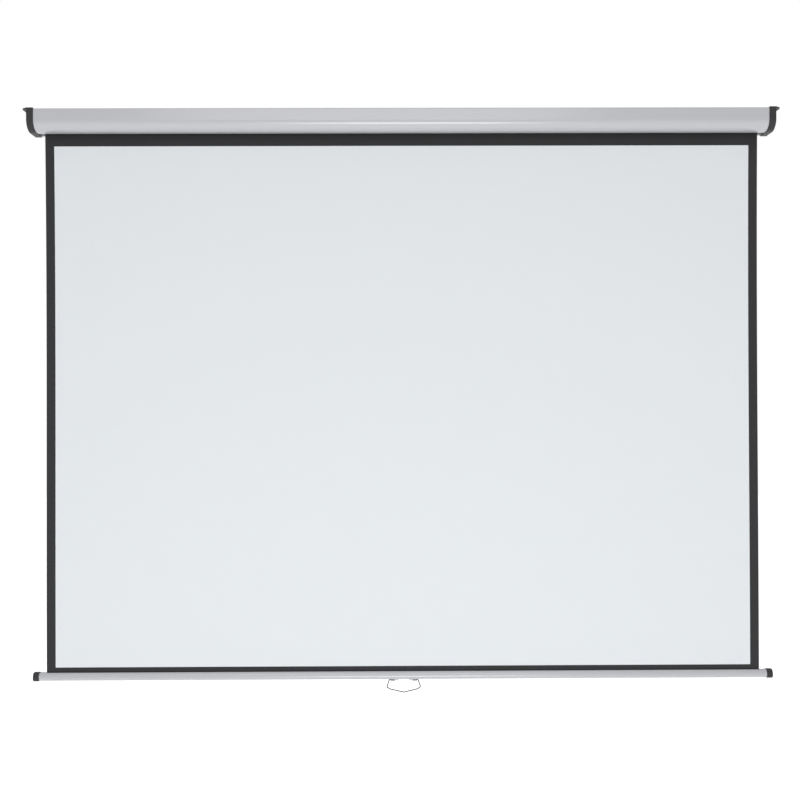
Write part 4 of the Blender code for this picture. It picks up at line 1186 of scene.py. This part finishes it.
class PULLSCREEN_OT_bar_caps(Operator):
    """Make the two caps of the bottom bar"""

    bl_idname = "pull_screen.bar_caps"
    bl_label = "Bar caps"

    def execute(self, context):
        for side, word in ((-1, "left"), (1, "right")):
            cap = make_bar_cap(f"{word}_moulded_bar_cap", side)
            finish_piece(cap, "plastic", "screen", f"{word}_bar_cap")
        return {"FINISHED"}


# The pull handle


def saddle_inner_x():
    """Inner end of a saddle's barrel, from the middle."""
    return SADDLE_LOW.x + settings("handle").saddle_tab


def saddle_screw_x():
    """Distance of a saddle's screw from the middle."""
    return SADDLE_LOW.x + settings("handle").saddle_tab / 2


def axle_z():
    """Height of the handle's axle."""
    return HANDLE_TOP - settings("handle").wire


def make_saddle(name, side):
    """Pressed saddle: a loop round the handle's axle, a plate against the bar and a screw tab."""
    handle = settings("handle")
    top, half = SADDLE_HIGH.z, (SADDLE_HIGH.y - SADDLE_LOW.y) / 2
    low_x, high_x = on_side(side, SADDLE_LOW.x, SADDLE_HIGH.x)
    turn, plate_edge, loop_edge, inset = 2.2 * MM, 0.35 * MM, 0.25 * MM, 0.15 * MM
    corners = [(low_x, -half), (high_x, -half), (high_x, half), (low_x, half)]
    outline = rounded([(*corner, turn) for corner in corners])
    under = top - handle.saddle_plate
    plate = extruded(name, [outline], under, top, axis="Z", centre=(0, FABRIC_Y))
    plate = bevelled(plate, plate_edge, segments=3)
    bore = handle.wire + FIT
    radius = bore + handle.saddle_wall
    centre = (FABRIC_Y, axle_z())
    loop = arc((0, 0), radius, 180, 360, 32) + [(radius, radius - inset), (-radius, radius - inset)]
    ends = on_side(side, saddle_inner_x(), SADDLE_HIGH.x - inset)
    barrel = extruded(name + "_loop", [loop], *ends, centre=centre)
    barrel = bevelled(barrel, loop_edge, segments=2)
    saddle = carved(plate, barrel, "UNION")
    through = on_side(side, SADDLE_LOW.x, SADDLE_HIGH.x + radius)
    saddle = carved(saddle, cylinder(name + "_bore", bore, *through, centre))
    low, high = top - 3 * handle.saddle_plate, top + handle.saddle_plate
    place = (side * saddle_screw_x(), FABRIC_Y)
    hole = cylinder(name + "_hole", handle.screw_radius + FIT, low, high, place, axis="Z")
    return carved(saddle, hole)


class PULLSCREEN_OT_saddles(Operator):
    """Make the saddles that hold the handle, and their screws"""

    bl_idname = "pull_screen.saddles"
    bl_label = "Saddles"

    def execute(self, context):
        handle = settings("handle")
        sizes = (handle.screw_radius, handle.screw_length, handle.screw_head, handle.screw_head_height)
        for side, word in ((-1, "left"), (1, "right")):
            saddle = make_saddle(f"{word}_pressed_saddle", side)
            finish_piece(saddle, "zinc", "screen", f"{word}_saddle")
            packed = f"{word}_saddle_screw"
            top = (side * saddle_screw_x(), FABRIC_Y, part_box(packed)[0].z)
            screw = make_screw(f"{word}_small_screw", top, (0, 0, -1), *sizes)
            finish_piece(screw, "zinc", "screen", packed)
        return {"FINISHED"}


class PULLSCREEN_OT_handle(Operator):
    """Make the wire pull handle"""

    bl_idname = "pull_screen.handle"
    bl_label = "Pull handle"

    def execute(self, context):
        handle = settings("handle")
        bend = handle.bend
        half = [
            (saddle_inner_x(), 0.0, 0),
            (SADDLE_HIGH.x + handle.axle_gap, 0.0, bend),
            (handle.knee_half, -handle.knee_drop, bend),
            (handle.foot_half, -handle.foot_drop, bend),
            (0.0, -handle.drop, bend),
        ]
        corners = [(-u, v, r) for u, v, r in half] + list(reversed(half))[1:]
        curve = bpy.data.curves.new("wire_pull", "CURVE")
        curve.dimensions = "3D"
        curve.bevel_depth = handle.wire
        curve.bevel_resolution = 8
        curve.use_fill_caps = True
        points = rounded(corners, closed=False, degrees_a_step=5)
        add_line(curve, [(u, FABRIC_Y, axle_z() + v) for u, v in points])
        wire = welded(applied(new_object("wire_pull", curve)))
        wire = bevelled(wire, WIRE_END_ROUND, segments=3)
        finish_piece(wire, "wire", "handle", "pull_handle")
        return {"FINISHED"}


# The mechanism inside the case

MECHANISM = {
    "galvanised": ["idle_bracket", "spring_bracket", "roller_tube"],
    "zinc": ["spring_shaft", "spring_anchor", "idle_gudgeon", "pawl_pin_a", "pawl_pin_b", "hem_rod"],
    "spring_steel": ["torsion_spring", "ratchet_wheel", "pawl_a", "pawl_b"],
    "nylon": ["idle_bush", "shaft_guide_bush", "fabric_spline"],
    "plastic": ["idle_end_plug", "spring_end_plug"],
}


def finish_packed(node, finish):
    """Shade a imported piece, which is kept as it is, and give it its finish."""
    faces = node.data.polygons
    node.data.materials.clear()
    node.data.materials.append(finish_of(finish))
    faces.foreach_set("use_smooth", [True] * len(faces))
    join = node.modifiers.new("Join faces", "WELD")
    join.merge_threshold = 0.005 * MM
    crease = node.modifiers.new("Keep edges", "EDGE_SPLIT")
    crease.split_angle = math.radians(PACKED_CREASE_DEG)


class PULLSCREEN_OT_mechanism(Operator):
    """Finish the roller, the spring and the lock inside the case"""

    bl_idname = "pull_screen.mechanism"
    bl_label = "Mechanism"

    def execute(self, context):
        for finish, names in MECHANISM.items():
            for name in names:
                finish_packed(NODES[name], finish)
        return {"FINISHED"}


# The studio


def make_floor():
    """Plain white floor, well under the handle."""
    stage = settings("stage")
    mesh = bpy.data.meshes.new("studio_floor")
    work = bmesh.new()
    bmesh.ops.create_grid(work, x_segments=1, y_segments=1, size=stage.floor_side / 2)
    work.to_mesh(mesh)
    work.free()
    floor = new_object("studio_floor", mesh)
    floor.location = (0, 0, stage.floor_height)
    floor.data.materials.append(finish_of("floor"))


def make_surroundings():
    """White room all round: white to look at, and a plain level of light on the object."""
    world = bpy.data.worlds.new("white_room")
    world.use_nodes = True
    tree = world.node_tree
    tree.nodes.clear()
    level = settings("stage").surroundings
    light = add_node(tree, "ShaderNodeBackground", {"Color": WHITE_LIGHT, "Strength": level})
    white = add_node(tree, "ShaderNodeBackground", {"Color": WHITE_LIGHT, "Strength": 1.0})
    mixed = add_node(tree, "ShaderNodeMixShader", {0: seen_directly(tree), 1: light, 2: white})
    add_node(tree, "ShaderNodeOutputWorld", {"Surface": mixed})
    bpy.context.scene.world = world


def make_lamp(name, place, aim, width, height, in_mirrors):
    """Soft rectangular lamp aimed at a point, which the camera doesn't see."""
    data = bpy.data.lights.new(name, "AREA")
    data.shape = "RECTANGLE"
    data.size = width
    data.size_y = height
    data.energy = getattr(settings("stage"), name)
    lamp = new_object(name, data)
    lamp.location = place
    lamp.rotation_euler = (Vector(aim) - Vector(place)).to_track_quat("-Z", "Y").to_euler()
    lamp.visible_camera = False
    lamp.visible_glossy = in_mirrors


def make_camera():
    """Camera level with the middle of the screen, at the photograph's distance."""
    stage = settings("stage")
    data = bpy.data.cameras.new("camera")
    data.sensor_width = SENSOR_MM
    data.lens = stage.focal_length / MM
    camera = new_object("camera", data)
    camera.location = (CAMERA_X, -stage.camera_distance, CAMERA_Z)
    yaw = Matrix.Rotation(math.radians(CAMERA_YAW_DEG), 4, "Z")
    upright = Matrix.Rotation(math.pi / 2, 4, "X")
    roll = Matrix.Rotation(math.radians(CAMERA_ROLL_DEG), 4, "Z")
    camera.rotation_euler = (yaw @ upright @ roll).to_euler()
    bpy.context.scene.camera = camera


class PULLSCREEN_OT_stage(Operator):
    """Make the floor, the lamps, the surroundings and the camera"""

    bl_idname = "pull_screen.stage"
    bl_label = "Studio"

    def execute(self, context):
        make_floor()
        make_surroundings()
        for name, lamp in LAMPS.items():
            make_lamp(name, *lamp)
        make_camera()
        bpy.context.scene.view_settings.view_transform = "Standard"
        return {"FINISHED"}


GROUPS = {
    "case": CaseSettings,
    "cap": CapSettings,
    "fabric": FabricSettings,
    "bar": BarSettings,
    "handle": HandleSettings,
    "stage": StageSettings,
}
OPERATORS = [
    PULLSCREEN_OT_case,
    PULLSCREEN_OT_end_caps,
    PULLSCREEN_OT_cap_screws,
    PULLSCREEN_OT_wound_fabric,
    PULLSCREEN_OT_hanging_fabric,
    PULLSCREEN_OT_bottom_bar,
    PULLSCREEN_OT_bar_caps,
    PULLSCREEN_OT_saddles,
    PULLSCREEN_OT_handle,
    PULLSCREEN_OT_mechanism,
    PULLSCREEN_OT_stage,
]


class PULLSCREEN_PT_panel(Panel):
    """Lists the pieces and their settings"""

    bl_idname = "PULLSCREEN_PT_panel"
    bl_label = "Pull Down Projector Screen"
    bl_space_type = "VIEW_3D"
    bl_region_type = "UI"
    bl_category = "Screen"

    def draw(self, context):
        for operator in OPERATORS:
            self.layout.operator(operator.bl_idname)
        for name, group in GROUPS.items():
            box = self.layout.box()
            box.label(text=name.capitalize())
            for key in group.__annotations__:
                box.prop(settings(name), key)


CLASSES = [*GROUPS.values(), *OPERATORS, PULLSCREEN_PT_panel]


def register():
    """Make the classes and the scene's settings known."""
    for each in CLASSES:
        bpy.utils.register_class(each)
    for name, group in GROUPS.items():
        setattr(bpy.types.Scene, "pull_screen_" + name, PointerProperty(type=group))


def unregister():
    """Take the settings and the classes away again."""
    for name in GROUPS:
        delattr(bpy.types.Scene, "pull_screen_" + name)
    for each in reversed(CLASSES):
        bpy.utils.unregister_class(each)


def main():
    """Make every piece and the studio."""
    register()
    for operator in OPERATORS:
        group, name = operator.bl_idname.split(".")
        getattr(getattr(bpy.ops, group), name)()


if __name__ == "__main__":
    main()
